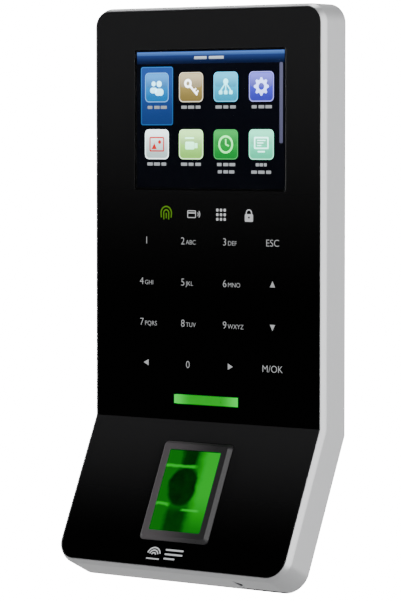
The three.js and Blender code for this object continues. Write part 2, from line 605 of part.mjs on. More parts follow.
const TRAY_FRONT = INSIDE_FRONT + LCD.panel + GAP;
const TRAY_BACK = TRAY_FRONT + LCD.tray;
const BRACKET_FRONT = INSIDE_FRONT + BRACKET.behind;
const FLEX_SPAN = [LCD_BOTTOM + DISPLAY_FLEX.from, LCD_BOTTOM + DISPLAY_FLEX.to];

function lcdPanel() {
  const half = LCD.width / 2 - LCD_BORDER.side;
  const [bottom, top] = [LCD_BOTTOM + LCD_BORDER.bottom, LCD_TOP - LCD_BORDER.top];
  return box(-half, half, INSIDE_FRONT, INSIDE_FRONT + LCD.panel, bottom, top);
}

function lcdBacklight() {
  const half = LCD.width / 2;
  return box(-half, half, TRAY_FRONT, TRAY_BACK, LCD_BOTTOM, LCD_TOP);
}

function displayBracket() {
  const half = LCD.width / 2 + GAP;
  const [bottom, top] = [LCD_BOTTOM - GAP, LCD_TOP + GAP];
  const { wall, side, end, radius } = BRACKET;
  const outer = half + wall;
  const back = TRAY_BACK + GAP + wall;
  const tray = box(-outer, outer, BRACKET_FRONT, back, bottom - wall, top + wall);
  const room = box(-half, half, 0, TRAY_BACK + GAP, bottom, top);
  const flexNotch = box(-outer - PAST, 0, 0, TRAY_BACK, FLEX_SPAN[0] - PAST, FLEX_SPAN[1] + PAST);
  const opening = roundedSlab(side - half, half - side, bottom + end, top - end, radius, 0, back + PAST);
  return cut(tray, room, flexNotch, opening);
}

/** Out of the backlight's left side, round the bracket's edge and onto the back of the main board. */
function displayFlex() {
  const left = -LCD.width / 2;
  const behind = BOARD_BACK + 0.9;
  const line = [
    [left - 0.2, TRAY_FRONT + 0.6],
    [left - 1.8, TRAY_FRONT + 0.8],
    [left - 2.5, TRAY_FRONT + 2.4],
    [left - 2.6, BOARD_FRONT + 0.2],
    [left - 2, BOARD_BACK + 0.6],
    [left + 0.6, behind],
    [left + 4, behind],
  ];
  const outline = ribbonShape(line, FLEX_THICKNESS, 30);
  const [bottom, top] = FLEX_SPAN;
  const geometry = new THREE.ExtrudeGeometry(outline, { depth: top - bottom, bevelEnabled: false });
  return solidOf(geometry.translate(0, 0, bottom));
}

const KEYPAD_TOP = LCD_BOTTOM - BRACKET.wall - 2 * GAP - SLIDE_GAP;
const KEYPAD_BOTTOM = KEYPAD.firstRow - KEYPAD_BELOW;
const KEYPAD_HALF = LCD.width / 2;
const KEYPAD_BACK = INSIDE_FRONT + THIN_BOARD;

function keypadBoard() {
  const half = KEYPAD_HALF;
  const board = roundedSlab(-half, half, KEYPAD_BOTTOM, KEYPAD_TOP, BOARD.radius, INSIDE_FRONT, KEYPAD_BACK);
  const lampBack = KEYPAD_BACK + KEY_LAMP.thickness;
  const lamps = [];
  for (let row = 0; row < KEYPAD.rows; row++) {
    for (let column = 0; column < KEYPAD.columns; column++) {
      const x = KEYPAD.offset + (column - (KEYPAD.columns - 1) / 2) * KEYPAD.pitchX;
      const u = KEYPAD.firstRow + row * KEYPAD.pitchU;
      const { half: wide, rise } = KEY_LAMP;
      lamps.push(box(x - wide, x + wide, KEYPAD_BACK - BITE, lampBack, u - rise, u + rise));
    }
  }
  return join(board, ...lamps);
}

function antennaCoil() {
  const front = KEYPAD_BACK + KEY_LAMP.thickness + GAP;
  const half = KEYPAD_HALF - COIL.side;
  const [bottom, top] = [KEYPAD_BOTTOM + COIL.end, KEYPAD_TOP - COIL.end];
  const { width, thickness, radius } = COIL;
  const ring = roundedSlab(-half, half, bottom, top, radius, front, front + thickness);
  const inner = half - width;
  const corner = radius - width;
  const [d0, d1] = [front - PAST, front + thickness + PAST];
  return cut(ring, roundedSlab(-inner, inner, bottom + width, top - width, corner, d0, d1));
}

function keypadFlex() {
  const u = BOARD_BOTTOM + KEYPAD_FLEX.above;
  const line = [
    [KEYPAD_BACK + 0.2, u + 5],
    [KEYPAD_BACK + 0.6, u + 1],
    [BOARD_FRONT - 1.2, u - 1],
    [BOARD_FRONT - 0.3, u - 5],
  ];
  return flexAcross(line, KEYPAD_FLEX.x0, KEYPAD_FLEX.x1);
}

/** The light guide's face in the lens slot, grown by grow all round and by past at both faces. */
function lightGuideFace(grow = 0, past = 0) {
  const half = LIGHT_BAR.width / 2 + grow;
  const [bottom, top] = [LIGHT_BAR.aboveFold - grow, LIGHT_BAR.aboveFold + LIGHT_BAR.height + grow];
  return box(-half, half, GAP - past, LENS_THICKNESS + past, bottom, top);
}

function lightGuide() {
  const half = LIGHT_BAR.width / 2 + LIGHT_FLANGE;
  const bottom = LIGHT_BAR.aboveFold - LIGHT_FLANGE;
  const top = bottom + LIGHT_BAR.height + 2 * LIGHT_FLANGE;
  const neck = lightGuideFace(0, GAP + SLIDE_GAP).intersect(box(-half, half, GAP, LIGHT_BACK, bottom, top));
  return join(neck, box(-half, half, INSIDE_FRONT, LIGHT_BACK, bottom, top));
}

function indicatorBoard() {
  const half = LIGHT_BAR.width / 2 + LIGHT_BOARD.side;
  const middle = LIGHT_BAR.aboveFold + LIGHT_BAR.height / 2;
  const front = LIGHT_BACK + LIGHT_BOARD.clear;
  const [low, high] = [middle - LIGHT_BOARD.half, middle + LIGHT_BOARD.half];
  const board = box(-half, half, front, INDICATOR_BACK, low, high);
  const lamps = [-1, 0, 1].map((place) => {
    const x = place * LIGHT_BOARD.lampPitch;
    const { half: wide, rise } = KEY_LAMP;
    return box(x - wide, x + wide, LIGHT_BACK + GAP, front + BITE, middle - rise, middle + rise);
  });
  return join(board, ...lamps);
}

// ---------------------------------------------------------------- main board

const BOARD_TOP = FRAME_TOP - BOARD.belowTop;
const BOARD_BOTTOM = POCKET.top + POCKET.wall + 2 * SLIDE_GAP;
const PARTS_FRONT = BOARD_BACK + GAP; // depth that the parts on the board's back start from

function mainBoard() {
  const { half, radius } = BOARD;
  const board = roundedSlab(-half, half, BOARD_BOTTOM, BOARD_TOP, radius, BOARD_FRONT, BOARD_BACK);
  const hole = BOARD_SCREW.radius + SLIDE_GAP;
  const [d0, d1] = [BOARD_FRONT - PAST, BOARD_BACK + PAST];
  const holes = BOARD_SPOTS.map(([x, u]) => rod(x, u, hole, d0, d1, SIDES.hole));
  return cut(board, ...holes);
}

/** A chip that lies on the back of the main board, with a row of legs along both long sides. */
function chip({ x, aboveCentre, width, height, thickness, legs }) {
  const u = CENTRE_U + aboveCentre;
  const [half, rise] = [width / 2, height / 2];
  const [d0, d1] = [PARTS_FRONT + CHIP_LEG.under, PARTS_FRONT + thickness];
  const body = box(x - half, x + half, d0, d1, u - rise, u + rise);
  const pitch = width / (legs + 1);
  const out = rise + CHIP_LEG.reach;
  const feet = [];
  for (let i = 1; i <= legs; i++) {
    const at = x - half + i * pitch;
    const [x0, x1] = [at - CHIP_LEG.half, at + CHIP_LEG.half];
    feet.push(box(x0, x1, PARTS_FRONT, PARTS_FRONT + CHIP_LEG.thickness, u - out, u + out));
  }
  return join(body, ...feet);
}

function powerInductor() {
  const { x, half, corner, base, radius, height } = INDUCTOR;
  const u = CENTRE_U + INDUCTOR.aboveCentre;
  const top = PARTS_FRONT + base;
  const foot = roundedSlab(x - half, x + half, u - half, u + half, corner, PARTS_FRONT, top);
  return join(foot, rod(x, u, radius, top - BITE, PARTS_FRONT + height));
}

const BATTERY_U = CENTRE_U + BATTERY.aboveCentre;

function clockBattery() {
  const front = PARTS_FRONT + BATTERY_HOLDER.floor + GAP;
  return rod(BATTERY.x, BATTERY_U, BATTERY.radius, front, front + BATTERY.height, SIDES.coin);
}

function batteryHolder() {
  const { wall, floor, height, radius, gap } = BATTERY_HOLDER;
  const half = BATTERY.radius + wall;
  const [x, u] = [BATTERY.x, BATTERY_U];
  const back = PARTS_FRONT + height;
  const body = roundedSlab(x - half, x + half, u - half, u + half, radius, PARTS_FRONT, back);
  const [d0, d1] = [PARTS_FRONT + floor, back + PAST];
  const room = rod(x, u, BATTERY.radius + GAP, d0, d1, SIDES.coin);
  return cut(body, room, box(x - gap, x + gap, d0, d1, u, u + half + PAST));
}

/** A wire-to-board header that opens to the back, with its row of pins. */
function header({ x: x0, pins }) {
  const { height, rise, wall, floor, pitch, key, below } = HEADER;
  const x1 = x0 + (pins + 1) * pitch;
  const u1 = CENTRE_U - CABLE_WAY.belowCentre + CABLE_WAY.height / 2 - below;
  const u0 = u1 - height;
  const [front, back] = [PARTS_FRONT + floor, PARTS_FRONT + rise];
  const body = box(x0, x1, PARTS_FRONT, back, u0, u1);
  const socket = box(x0 + wall, x1 - wall, front, back + PAST, u0 + wall, u1 - wall);
  const middle = (x0 + x1) / 2;
  const keyway = box(middle - key, middle + key, front + wall, back + PAST, u0 - PAST, u0 + wall + PAST);
  const posts = [];
  const [d0, d1] = [front - SLIDE_GAP, back - SLIDE_GAP];
  for (let i = 1; i <= pins; i++) {
    posts.push(rod(x0 + i * pitch, (u0 + u1) / 2, HEADER.pin, d0, d1, SIDES.pin));
  }
  return join(cut(body, socket, keyway), ...posts);
}

// ---------------------------------------------------------------- fingerprint sensor, in the lower half

/** The part of the bezel that stands in the lens, grown all round and run past both of its faces. */
function bezelBody(grow = 0, past = 0) {
  const half = BEZEL.width / 2 + grow;
  const [top, bottom] = [BEZEL_TOP + grow, BEZEL_TOP - BEZEL.height - grow];
  return roundedSlab(-half, half, bottom, top, BEZEL.radius, -past, LENS_THICKNESS + past);
}

const BEZEL_BACK = INSIDE_FRONT + BEZEL_FLANGE.thickness;

function sensorBezel() {
  const { width, height, raise, slope, radius } = BEZEL;
  const half = width / 2;
  const bottom = BEZEL_TOP - height;
  const shape = roundedRectangle(
    slope - half,
    half - slope,
    bottom + slope,
    BEZEL_TOP - slope,
    radius - slope / 2,
  );
  const raised = new THREE.ExtrudeGeometry(shape, {
    depth: BEZEL_FACE,
    bevelEnabled: true,
    bevelSize: slope,
    bevelThickness: raise,
    bevelSegments: 1,
    curveSegments: COARSE,
  });
  const aboveLens = box(-width, width, -raise, BEZEL_FACE / 2, bottom - FAR, BEZEL_TOP + FAR);
  const crown = solidOf(raised.rotateX(Math.PI / 2).translate(0, BEZEL_FACE, 0)).intersect(aboveLens);
  const neck = roundedSlab(-half, half, bottom, BEZEL_TOP, radius, 0, INSIDE_FRONT + GAP);
  const { width: rim } = BEZEL_FLANGE;
  const [low, high] = [bottom - rim, BEZEL_TOP + rim];
  const flange = roundedSlab(-half - rim, half + rim, low, high, radius, INSIDE_FRONT, BEZEL_BACK);
  return cut(join(crown, neck, flange), windowHole());
}

const WINDOW_HALF = BEZEL.width / 2 - BEZEL_BORDER.side;
const WINDOW_RISE = BEZEL.height / 2 - BEZEL_BORDER.end;

/** The window's outline as a tool that runs through the bezel. */
function windowHole() {
  const [bottom, top] = [BEZEL_CENTRE - WINDOW_RISE, BEZEL_CENTRE + WINDOW_RISE];
  return roundedSlab(-WINDOW_HALF, WINDOW_HALF, bottom, top, SMALL_RADIUS, -FAR, FAR);
}

function sensorPrism() {
  const half = WINDOW_HALF - 2 * GAP;
  const rise = WINDOW_RISE - 2 * GAP;
  const face = WINDOW_SUNK - BEZEL.raise;
  const profile = [
    [PRISM.shallow, BEZEL_CENTRE - rise],
    [PRISM.deep, BEZEL_CENTRE + rise],
    [face, BEZEL_CENTRE + rise],
    [face, BEZEL_CENTRE - rise],
  ];
  return across(profile, -half, half);
}

const TUB = {
  half: FLANGE_HALF,
  top: BEZEL_TOP - 2 * GAP,
  bottom: BEZEL_TOP - BEZEL.height - BEZEL_FLANGE.width,
};
const TUB_FRONT = BEZEL_BACK + SEAL_THICKNESS + 2 * GAP;
const TUB_BACK = THICKNESS - TUB_ROOM.behind;
const SEAL_WIDTH = 3;

function sensorSeal() {
  const front = BEZEL_BACK + GAP;
  const { half, top, bottom } = TUB;
  const ring = roundedSlab(-half, half, bottom, top, BOARD.radius, front, front + SEAL_THICKNESS);
  const inner = half - SEAL_WIDTH;
  const [d0, d1] = [front - PAST, front + PAST];
  const [low, high] = [bottom + SEAL_WIDTH, top - TUB_ROOM.top];
  return cut(ring, roundedSlab(-inner, inner, low, high, BOARD.radius, d0, d1));
}

function sensorHousing() {
  const { half, top, bottom } = TUB;
  const block = roundedSlab(-half, half, bottom, top, TUB_ROOM.radius, TUB_FRONT, TUB_BACK);
  const inner = half - TUB_ROOM.side;
  const [low, high] = [bottom + TUB_ROOM.bottom, top - TUB_ROOM.top];
  return cut(block, box(-inner, inner, TUB_FRONT - PAST, TUB_BACK + PAST, low, high));
}

function sensorBoard() {
  const front = TUB_BACK + GAP;
  return box(-TUB.half, TUB.half, front, front + THIN_BOARD, TUB.bottom, TUB.top - TUB_ROOM.top);
}

function sensorCamera() {
  const { base, thickness, radius, bore, short, sight, above } = SENSOR_CAMERA;
  const u = BEZEL_CENTRE + above;
  const foot = box(-base, base, TUB_BACK - thickness, TUB_BACK, u - base, u + base);
  const front = PRISM.deep + short;
  const barrel = cut(rod(0, u, radius, front, TUB_BACK - BITE), rod(0, u, bore, 0, front + sight));
  return join(foot, barrel);
}

// ---------------------------------------------------------------- speaker, in the lower half

const SPEAKER_BACK = FLOOR_INNER - SPEAKER_SEAT.gasket;

/** A small round speaker, its magnet in front and its cone towards the grille. */
function speaker() {
  const { x, u, radius, height, sides } = SPEAKER;
  const magnet = radius * 0.6;
  const profile = [
    [0, 0],
    [magnet, 0],
    [magnet, 1.3],
    [radius, 1.7],
    [radius, height],
    [radius - 0.8, height],
    [radius * 0.45, height - 1],
    [0, height - 0.5],
  ].map(([r, h]) => new THREE.Vector2(r, h));
  const body = new THREE.LatheGeometry(profile, sides);
  return solidOf(body.translate(x, SPEAKER_BACK - height, u));
}

function speakerGasket() {
  const { x, u, radius, sides } = SPEAKER;
  const [d0, d1] = [SPEAKER_BACK + GAP, FLOOR_INNER - GAP];
  const ring = rod(x, u, radius - 2 * GAP, d0, d1, sides);
  return cut(ring, rod(x, u, radius - SPEAKER_SEAT.width, d0 - PAST, d1 + PAST, sides));
}

const inLower = (x, d, u) => new THREE.Vector3(x, d, u).applyAxisAngle(X_AXIS, -TILT);

/** One of the speaker's two leads, up past the fold to the back of the main board. */
function speakerWire(aside) {
  const front = SPEAKER_BACK - SPEAKER.height - 0.6;
  const clear = SPEAKER.x + SPEAKER.radius + 1.7 + aside;
  const curve = new THREE.CatmullRomCurve3([
    inLower(SPEAKER.x + 2 + aside, front, SPEAKER.u + 1),
    inLower(SPEAKER.x + 6 + aside, front - 0.3, SPEAKER.u + 6),
    inLower(clear, front + 0.6, SPEAKER.u + 14),
    new THREE.Vector3(clear, BOARD_BACK + 0.6, 4),
    new THREE.Vector3(clear + 0.4, BOARD_BACK + 1.2, BOARD_BOTTOM - 3),
    new THREE.Vector3(clear + 0.6, BOARD_BACK + 0.7, BOARD_BOTTOM + 2.5),
  ]);
  return tube(curve, 0.45, 22, 6);
}

// ---------------------------------------------------------------- port, in the lower half

const USB_MOUTH = 2 * USB_COVER.barrel + 3 * GAP - FRAME_BOTTOM;
const USB_END = USB_MOUTH + USB.length;
const USB_FRONT = USB.depth - USB.height / 2;
const USB_BACK = USB.depth + USB.height / 2;

function usbShell() {
  const [x0, x1] = [USB.x - USB.width / 2, USB.x + USB.width / 2];
  const { wall } = USB;
  const outer = box(x0, x1, USB_FRONT, USB_BACK, USB_MOUTH, USB_END);
  const [d0, d1] = [USB_FRONT + wall, USB_BACK - wall];
  return cut(outer, box(x0 + wall, x1 - wall, d0, d1, USB_MOUTH - PAST, USB_END - wall));
}

function usbInsulator() {
  const half = USB.width / 2 - USB.wall - GAP;
  const [d0, d1] = [USB_FRONT + USB.wall + GAP, USB_BACK - USB.wall - GAP];
  const end = USB_END - USB.wall - GAP;
  const { block, half: wide, aside, thickness, short } = USB_TONGUE;
  const base = box(USB.x - half, USB.x + half, d0, d1, end - block, end);
  const front = d0 + aside;
  const tip = USB_MOUTH + short;
  const tongue = box(USB.x - wide, USB.x + wide, front, front + thickness, tip, end - block + BITE);
  return join(base, tongue);
}

function usbBoard() {
  const back = USB_FRONT - GAP;
  const { thickness, side, length, clear } = USB_BOARD;
  const lowest = RING_WALL + 2 * BOSS.radius + clear - FRAME_BOTTOM;
  const half = USB.width / 2 + side;
  return box(USB.x - half, USB.x + half, back - thickness, back, lowest, lowest + length);
}

function usbFlex() {
  const start = inLower(0, USB_FRONT - 1.2, 24 - FRAME_BOTTOM);
  const bend = inLower(0, USB_FRONT - 1, 34 - FRAME_BOTTOM);
  const line = [
    [start.y, start.z],
    [bend.y, bend.z],
    [BOARD_FRONT - 0.8, 4],
    [BOARD_FRONT - 0.5, BOARD_BOTTOM - 4],
    [BOARD_FRONT - 0.3, BOARD_BOTTOM + 3],
  ];
  return flexAcross(line, USB_FLEX.x0, USB_FLEX.x1);
}

function usbCover() {
  const { thickness, barrel, bore, notch, notchOut } = USB_COVER;
  const outer = GAP - FRAME_BOTTOM;
  const [x0, x1] = [PORT.x0 + GAP, PORT.x1 - GAP];
  const leaf = box(x0, x1, PORT.d0 + GAP, PORT_HINGE.d, outer, outer + thickness);
  const knuckle = pin(PORT_HINGE.d, PORT_HINGE.u, barrel, x0, x1);
  const hole = pin(PORT_HINGE.d, PORT_HINGE.u, bore, x0 - PAST, x1 + PAST);
  const middle = (PORT.d0 + PORT_HINGE.d) / 2;
  const fingerNotch = post(x0 - notchOut, middle, notch, outer - PAST, outer + thickness + PAST);
  return cut(join(leaf, knuckle), hole, fingerNotch);
}

const PIN_OVER = 0.9; // pin's ends in the ring beside the opening
const usbHingePin = () =>
  pin(PORT_HINGE.d, PORT_HINGE.u, USB_COVER.pin, PORT.x0 - PIN_OVER, PORT.x1 + PIN_OVER);

// ---------------------------------------------------------------- fasteners and small moving pieces

/** A cross recess between two depths, as a pair of tools for a screw's head. */
function crossRecess(x, u, head, d0, d1) {
  const [half, slit] = [head * CROSS.reach, head * CROSS.slit];
  return [
    box(x - half, x + half, d0, d1, u - slit, u + slit),
    box(x - slit, x + slit, d0, d1, u - half, u + half),
  ];
}

function caseScrew(x, u) {
  const { radius, length, head, headHeight } = CASE_SCREW;
  const seat = SCREW_SEAT + GAP / 2;
  const top = seat + headHeight;
  const shank = rod(x, u, radius, seat - length, seat + BITE, SIDES.shank);
  const body = join(shank, rod(x, u, head, seat, top, SIDES.hole));
  return cut(body, ...crossRecess(x, u, head, top - CROSS.depth, top + PAST));
}

function boardScrew(x, u) {
  const { radius, length, head, headHeight } = BOARD_SCREW;
  const seat = BOARD_FRONT - GAP;
  const top = seat - headHeight;
  const shank = rod(x, u, radius, seat - BITE, seat + length, SIDES.pin);
  const body = join(shank, rod(x, u, head, top, seat, SIDES.head));
  return cut(body, ...crossRecess(x, u, head, top - PAST, top + CROSS.depth));
}

/** A lobed star with a pin in its middle, the drive of a tamper-resistant screw. */
function securityScrew() {
  const { radius, length, head, headHeight } = SECURITY_SCREW;
  const under = HEAD_TOP - headHeight;
  const star = new THREE.Shape();
  for (let i = 0; i < 2 * STAR.lobes; i++) {
    const reach = head * (i % 2 ? STAR.inner : STAR.outer);
    const turn = (i * Math.PI) / STAR.lobes;
    const place = [reach * Math.cos(turn), reach * Math.sin(turn)];
    if (i) star.lineTo(...place);
    else star.moveTo(...place);
  }
  star.closePath();
  const geometry = new THREE.ExtrudeGeometry(star, { depth: PAST + STAR.depth, bevelEnabled: false });
  const drive = solidOf(geometry.translate(0, SCREW_D, under - PAST));
  const body = join(
    post(0, SCREW_D, head, under, HEAD_TOP, SIDES.ring),
    post(0, SCREW_D, radius, HEAD_TOP - BITE, HEAD_TOP + length),
  );
  return join(cut(body, drive), post(0, SCREW_D, STAR.pin, under + GAP, HEAD_TOP - BITE, SIDES.pin));
}

function securityWasher() {
  const seat = HEAD_TOP + GAP;
  const top = seat + WASHER_THICKNESS;
  const ring = post(0, SCREW_D, SECURITY_SCREW.head - GAP, seat, top, SIDES.ring);
  return cut(ring, post(0, SCREW_D, SECURITY_SCREW.radius + GAP, seat - PAST, top + PAST, SIDES.part));
}

function screwRetainer() {
  const bottom = RETAINER_TOP - RETAINER.height;
  const ring = post(0, SCREW_D, DRIVER_BORE - GAP, bottom, RETAINER_TOP, SIDES.bore);
  return cut(ring, post(0, SCREW_D, RETAINER.hole, bottom - PAST, RETAINER_TOP + PAST, SIDES.bore));
}

const PLUNGER_BACK = WALL_D - GAP;
const FLANGE_FRONT = PAD_INNER - GAP - PLUNGER.travel - PLUNGER.flangeHeight;

/** The tamper switch's plunger: a hollow cap over its spring, held in by its flange. */
function tamperPlunger() {
  const { radius, flange, flangeHeight, bore, end } = PLUNGER;
  const { x, u } = TAMPER;
  const cap = rod(x, u, radius, FLANGE_FRONT, PLUNGER_BACK, SIDES.part);
  const rim = rod(x, u, flange, FLANGE_FRONT, FLANGE_FRONT + flangeHeight, SIDES.part);
  return cut(join(cap, rim), rod(x, u, bore, 0, PLUNGER_BACK - end, SIDES.hole));
}

function tamperSwitch() {
  const { half, corner, base, guide, height } = TAMPER_SWITCH;
  const { x, u } = TAMPER;
  const back = PARTS_FRONT + height;
  const foot = roundedSlab(x - half, x + half, u - half, u + half, corner, PARTS_FRONT, PARTS_FRONT + base);
  const tower = cut(
    rod(x, u, guide, PARTS_FRONT + base / 2, back, SIDES.ring),
    rod(x, u, PLUNGER.flange + SLIDE_GAP, PARTS_FRONT, back + PAST, SIDES.ring),
  );
  return join(foot, tower);
}

function tamperSpring() {
  const start = PARTS_FRONT + TAMPER_SWITCH.base + SPRING.clear;
  const end = PLUNGER_BACK - PLUNGER.end - SPRING.clear;
  class Helix extends THREE.Curve {
    getPoint(t, target = new THREE.Vector3()) {
      const turn = t * SPRING.turns * 2 * Math.PI;
      const [aside, rise] = [SPRING.radius * Math.cos(turn), SPRING.radius * Math.sin(turn)];
      return target.set(TAMPER.x + aside, start + t * (end - start), TAMPER.u + rise);
    }
  }
  return tube(new Helix(), SPRING.wire, 11 * SPRING.turns, 5);
}

function resetSwitch() {
  const { x, u } = RESET_SPOT;
  const { body, height, floor, radius } = RESET;
  const back = PARTS_FRONT + height;
  const block = box(x - body, x + body, PARTS_FRONT, back, u - body, u + body);
  return cut(block, rod(x, u, radius + 2 * GAP, PARTS_FRONT + floor, back + PAST, SIDES.part));
}

function resetButton() {
  const seat = PARTS_FRONT + RESET.floor + RESET.travel + GAP;
  return rod(RESET_SPOT.x, RESET_SPOT.u, RESET.radius, seat, PAD_INNER - GAP, SIDES.part);
}

// ---------------------------------------------------------------- finishes

const finish = (color, roughness, metalness = 0, extra = {}) =>
  new THREE.MeshStandardMaterial({ color, roughness, metalness, ...extra });

const FINISH = {
  silver: finish(0xb8babc, 0.38, 0.75),
  blackGloss: finish(0x060607, 0.06),
  clear: finish(0xdfe8ea, 0.03, 0, { transparent: true, opacity: 0.3 }),
  lightGuide: finish(0x19e04a, 0.3),
  greyPlastic: finish(0x4b484c, 0.45),
  prismGlass: finish(0x0fae2c, 0.08),
  coverPlastic: finish(0x17181a, 0.62),
  darkPlastic: finish(0x1d1e20, 0.55),
  whitePlastic: finish(0xe6e3da, 0.5),
  foam: finish(0x222222, 0.95),
  rubber: finish(0x141414, 0.85),
  board: finish(0x0f4d2a, 0.5),
  flex: finish(0xb87333, 0.45),
  copper: finish(0xb5693a, 0.35, 1),
  steel: finish(0xa7a9ab, 0.35, 1),
  zinc: finish(0xb9bcbd, 0.42, 1),
  screwBlack: finish(0x232325, 0.4, 1),
  display: finish(0x04050a, 0.12),
  redWire: finish(0xb01818, 0.5),
  blackWire: finish(0x161616, 0.5),
};

// ---------------------------------------------------------------- assembly

const upper = new THREE.Group();
upper.position.set(0, -WALL_D, -CENTRE_U);
const lower = new THREE.Group();
lower.rotation.x = -TILT;
upper.add(lower);

function place(group, name, solid, material) {
  const mesh = new THREE.Mesh(geometryOf(solid), material);
  mesh.name = name;
  group.add(mesh);
}

place(upper, "frame", frameRing(), FINISH.silver);
place(upper, "front_lens", frontLens(), FINISH.blackGloss);
place(upper, "display_window", displayWindow(), FINISH.clear);
place(upper, "lens_seal", lensSeal(), FINISH.foam);
place(upper, "indicator_light_guide", lightGuide(), FINISH.lightGuide);
place(upper, "indicator_board", indicatorBoard(), FINISH.board);
place(upper, "lcd_panel", lcdPanel(), FINISH.display);
place(upper, "lcd_backlight", lcdBacklight(), FINISH.whitePlastic);
place(upper, "display_bracket", displayBracket(), FINISH.steel);
place(upper, "display_flex", displayFlex(), FINISH.flex);
place(upper, "keypad_board", keypadBoard(), FINISH.board);
place(upper, "keypad_flex", keypadFlex(), FINISH.flex);
place(upper, "antenna_coil", antennaCoil(), FINISH.copper);

place(upper, "main_board", mainBoard(), FINISH.board);
place(upper, "processor", chip(PROCESSOR), FINISH.darkPlastic);
place(upper, "memory_chip", chip(MEMORY), FINISH.darkPlastic);
place(upper, "power_inductor", powerInductor(), FINISH.darkPlastic);
place(upper, "clock_battery", clockBattery(), FINISH.steel);
place(upper, "battery_holder", batteryHolder(), FINISH.darkPlastic);
place(upper, "power_header", header(POWER_HEADER), FINISH.whitePlastic);
place(upper, "lock_header", header(LOCK_HEADER), FINISH.whitePlastic);
place(upper, "data_header", header(DATA_HEADER), FINISH.whitePlastic);

place(lower, "sensor_bezel", sensorBezel(), FINISH.greyPlastic);
place(lower, "sensor_prism", sensorPrism(), FINISH.prismGlass);
place(lower, "sensor_seal", sensorSeal(), FINISH.rubber);
place(lower, "sensor_housing", sensorHousing(), FINISH.darkPlastic);
place(lower, "sensor_board", sensorBoard(), FINISH.board);
place(lower, "sensor_camera", sensorCamera(), FINISH.darkPlastic);

const sensorLead = [
  inLower(0, TUB_BACK + THIN_BOARD + 0.5, TUB.top - 8),
  inLower(0, TUB_BACK + THIN_BOARD + 0.7, TUB.top - 3),
].map((p) => [p.y, p.z]);
sensorLead.push(
  [BOARD_BACK + 1, 1],
  [BOARD_BACK + 1.2, BOARD_BOTTOM - 4],
  [BOARD_BACK + 0.4, BOARD_BOTTOM + 3],
);
place(upper, "sensor_flex", flexAcross(sensorLead, SENSOR_FLEX.x0, SENSOR_FLEX.x1), FINISH.flex);

place(lower, "speaker", speaker(), FINISH.darkPlastic);
place(lower, "speaker_gasket", speakerGasket(), FINISH.foam);
place(upper, "speaker_wire_positive", speakerWire(0), FINISH.redWire);
place(upper, "speaker_wire_negative", speakerWire(1.1), FINISH.blackWire);

place(lower, "usb_board", usbBoard(), FINISH.board);
place(lower, "usb_shell", usbShell(), FINISH.steel);
place(lower, "usb_insulator", usbInsulator(), FINISH.whitePlastic);
place(lower, "usb_hinge_pin", usbHingePin(), FINISH.steel);
place(lower, "usb_cover", usbCover(), FINISH.silver);
place(upper, "usb_flex", usbFlex(), FINISH.flex);

place(upper, "rear_cover", rearCover(), FINISH.coverPlastic);
SCREW_SPOTS.forEach(({ x, u, lower: below }, i) => {
  place(below ? lower : upper, `case_screw_${i + 1}`, caseScrew(x, u), FINISH.screwBlack);
});
BOARD_SPOTS.forEach(([x, u], i) => {
  place(upper, `board_screw_${i + 1}`, boardScrew(x, u), FINISH.steel);
});

place(upper, "tamper_switch", tamperSwitch(), FINISH.darkPlastic);
place(upper, "tamper_spring", tamperSpring(), FINISH.steel);
place(upper, "tamper_plunger", tamperPlunger(), FINISH.whitePlastic);
place(upper, "reset_switch", resetSwitch(), FINISH.darkPlastic);
place(upper, "reset_button", resetButton(), FINISH.whitePlastic);
place(upper, "security_screw", securityScrew(), FINISH.steel);
place(upper, "security_washer", securityWasher(), FINISH.steel);
place(upper, "screw_retainer", screwRetainer(), FINISH.rubber);
place(upper, "wall_plate", wallPlate(), FINISH.zinc);

const terminal = new THREE.Group();
terminal.add(upper);

export default terminal;
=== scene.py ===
"""Wall-mounted fingerprint terminal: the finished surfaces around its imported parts.

Lengths are in metres, +Z is up, the front faces -Y, and the origin is the centre of the wall plate's back face.
Flat places on the casing are given in the fold's own measures: x across, u the height above the fold (negative down
the slope of the lower half) and d the depth behind the front face.
"""

import json
import logging
import math
from dataclasses import dataclass, field
from enum import Enum
from typing import Iterable, Sequence

import bmesh
import bpy
from bpy.types import Material, Node, NodeSocket, NodeTree, Object
from mathutils import Matrix, Vector
from mathutils.geometry import tessellate_polygon


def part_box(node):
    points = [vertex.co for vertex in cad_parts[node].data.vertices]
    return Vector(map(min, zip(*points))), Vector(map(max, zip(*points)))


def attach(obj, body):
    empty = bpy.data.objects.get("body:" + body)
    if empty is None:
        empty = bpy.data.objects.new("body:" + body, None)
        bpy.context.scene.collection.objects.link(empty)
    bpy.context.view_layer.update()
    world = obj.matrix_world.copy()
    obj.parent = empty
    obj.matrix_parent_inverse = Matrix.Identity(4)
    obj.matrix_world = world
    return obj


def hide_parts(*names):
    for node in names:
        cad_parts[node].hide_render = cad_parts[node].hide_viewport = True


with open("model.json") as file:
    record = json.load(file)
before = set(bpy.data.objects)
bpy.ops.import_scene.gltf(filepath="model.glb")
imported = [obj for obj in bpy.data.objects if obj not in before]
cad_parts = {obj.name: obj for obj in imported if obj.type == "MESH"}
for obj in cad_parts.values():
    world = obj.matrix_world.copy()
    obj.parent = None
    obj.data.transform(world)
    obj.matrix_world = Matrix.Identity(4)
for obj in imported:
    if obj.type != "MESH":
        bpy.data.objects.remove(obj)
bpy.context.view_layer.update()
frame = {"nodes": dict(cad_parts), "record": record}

log = logging.getLogger("terminal")

MM = 0.001
Colour = tuple[float, float, float]
Flat = tuple[float, float]
Loop = list[Flat]
TERMINAL = "terminal"
UPPER_HEIGHT = 113.3 * MM
SLOPE_LENGTH = 42.3 * MM
CASING_DEPTH = 11.5 * MM


# ------------------------------ shader maths


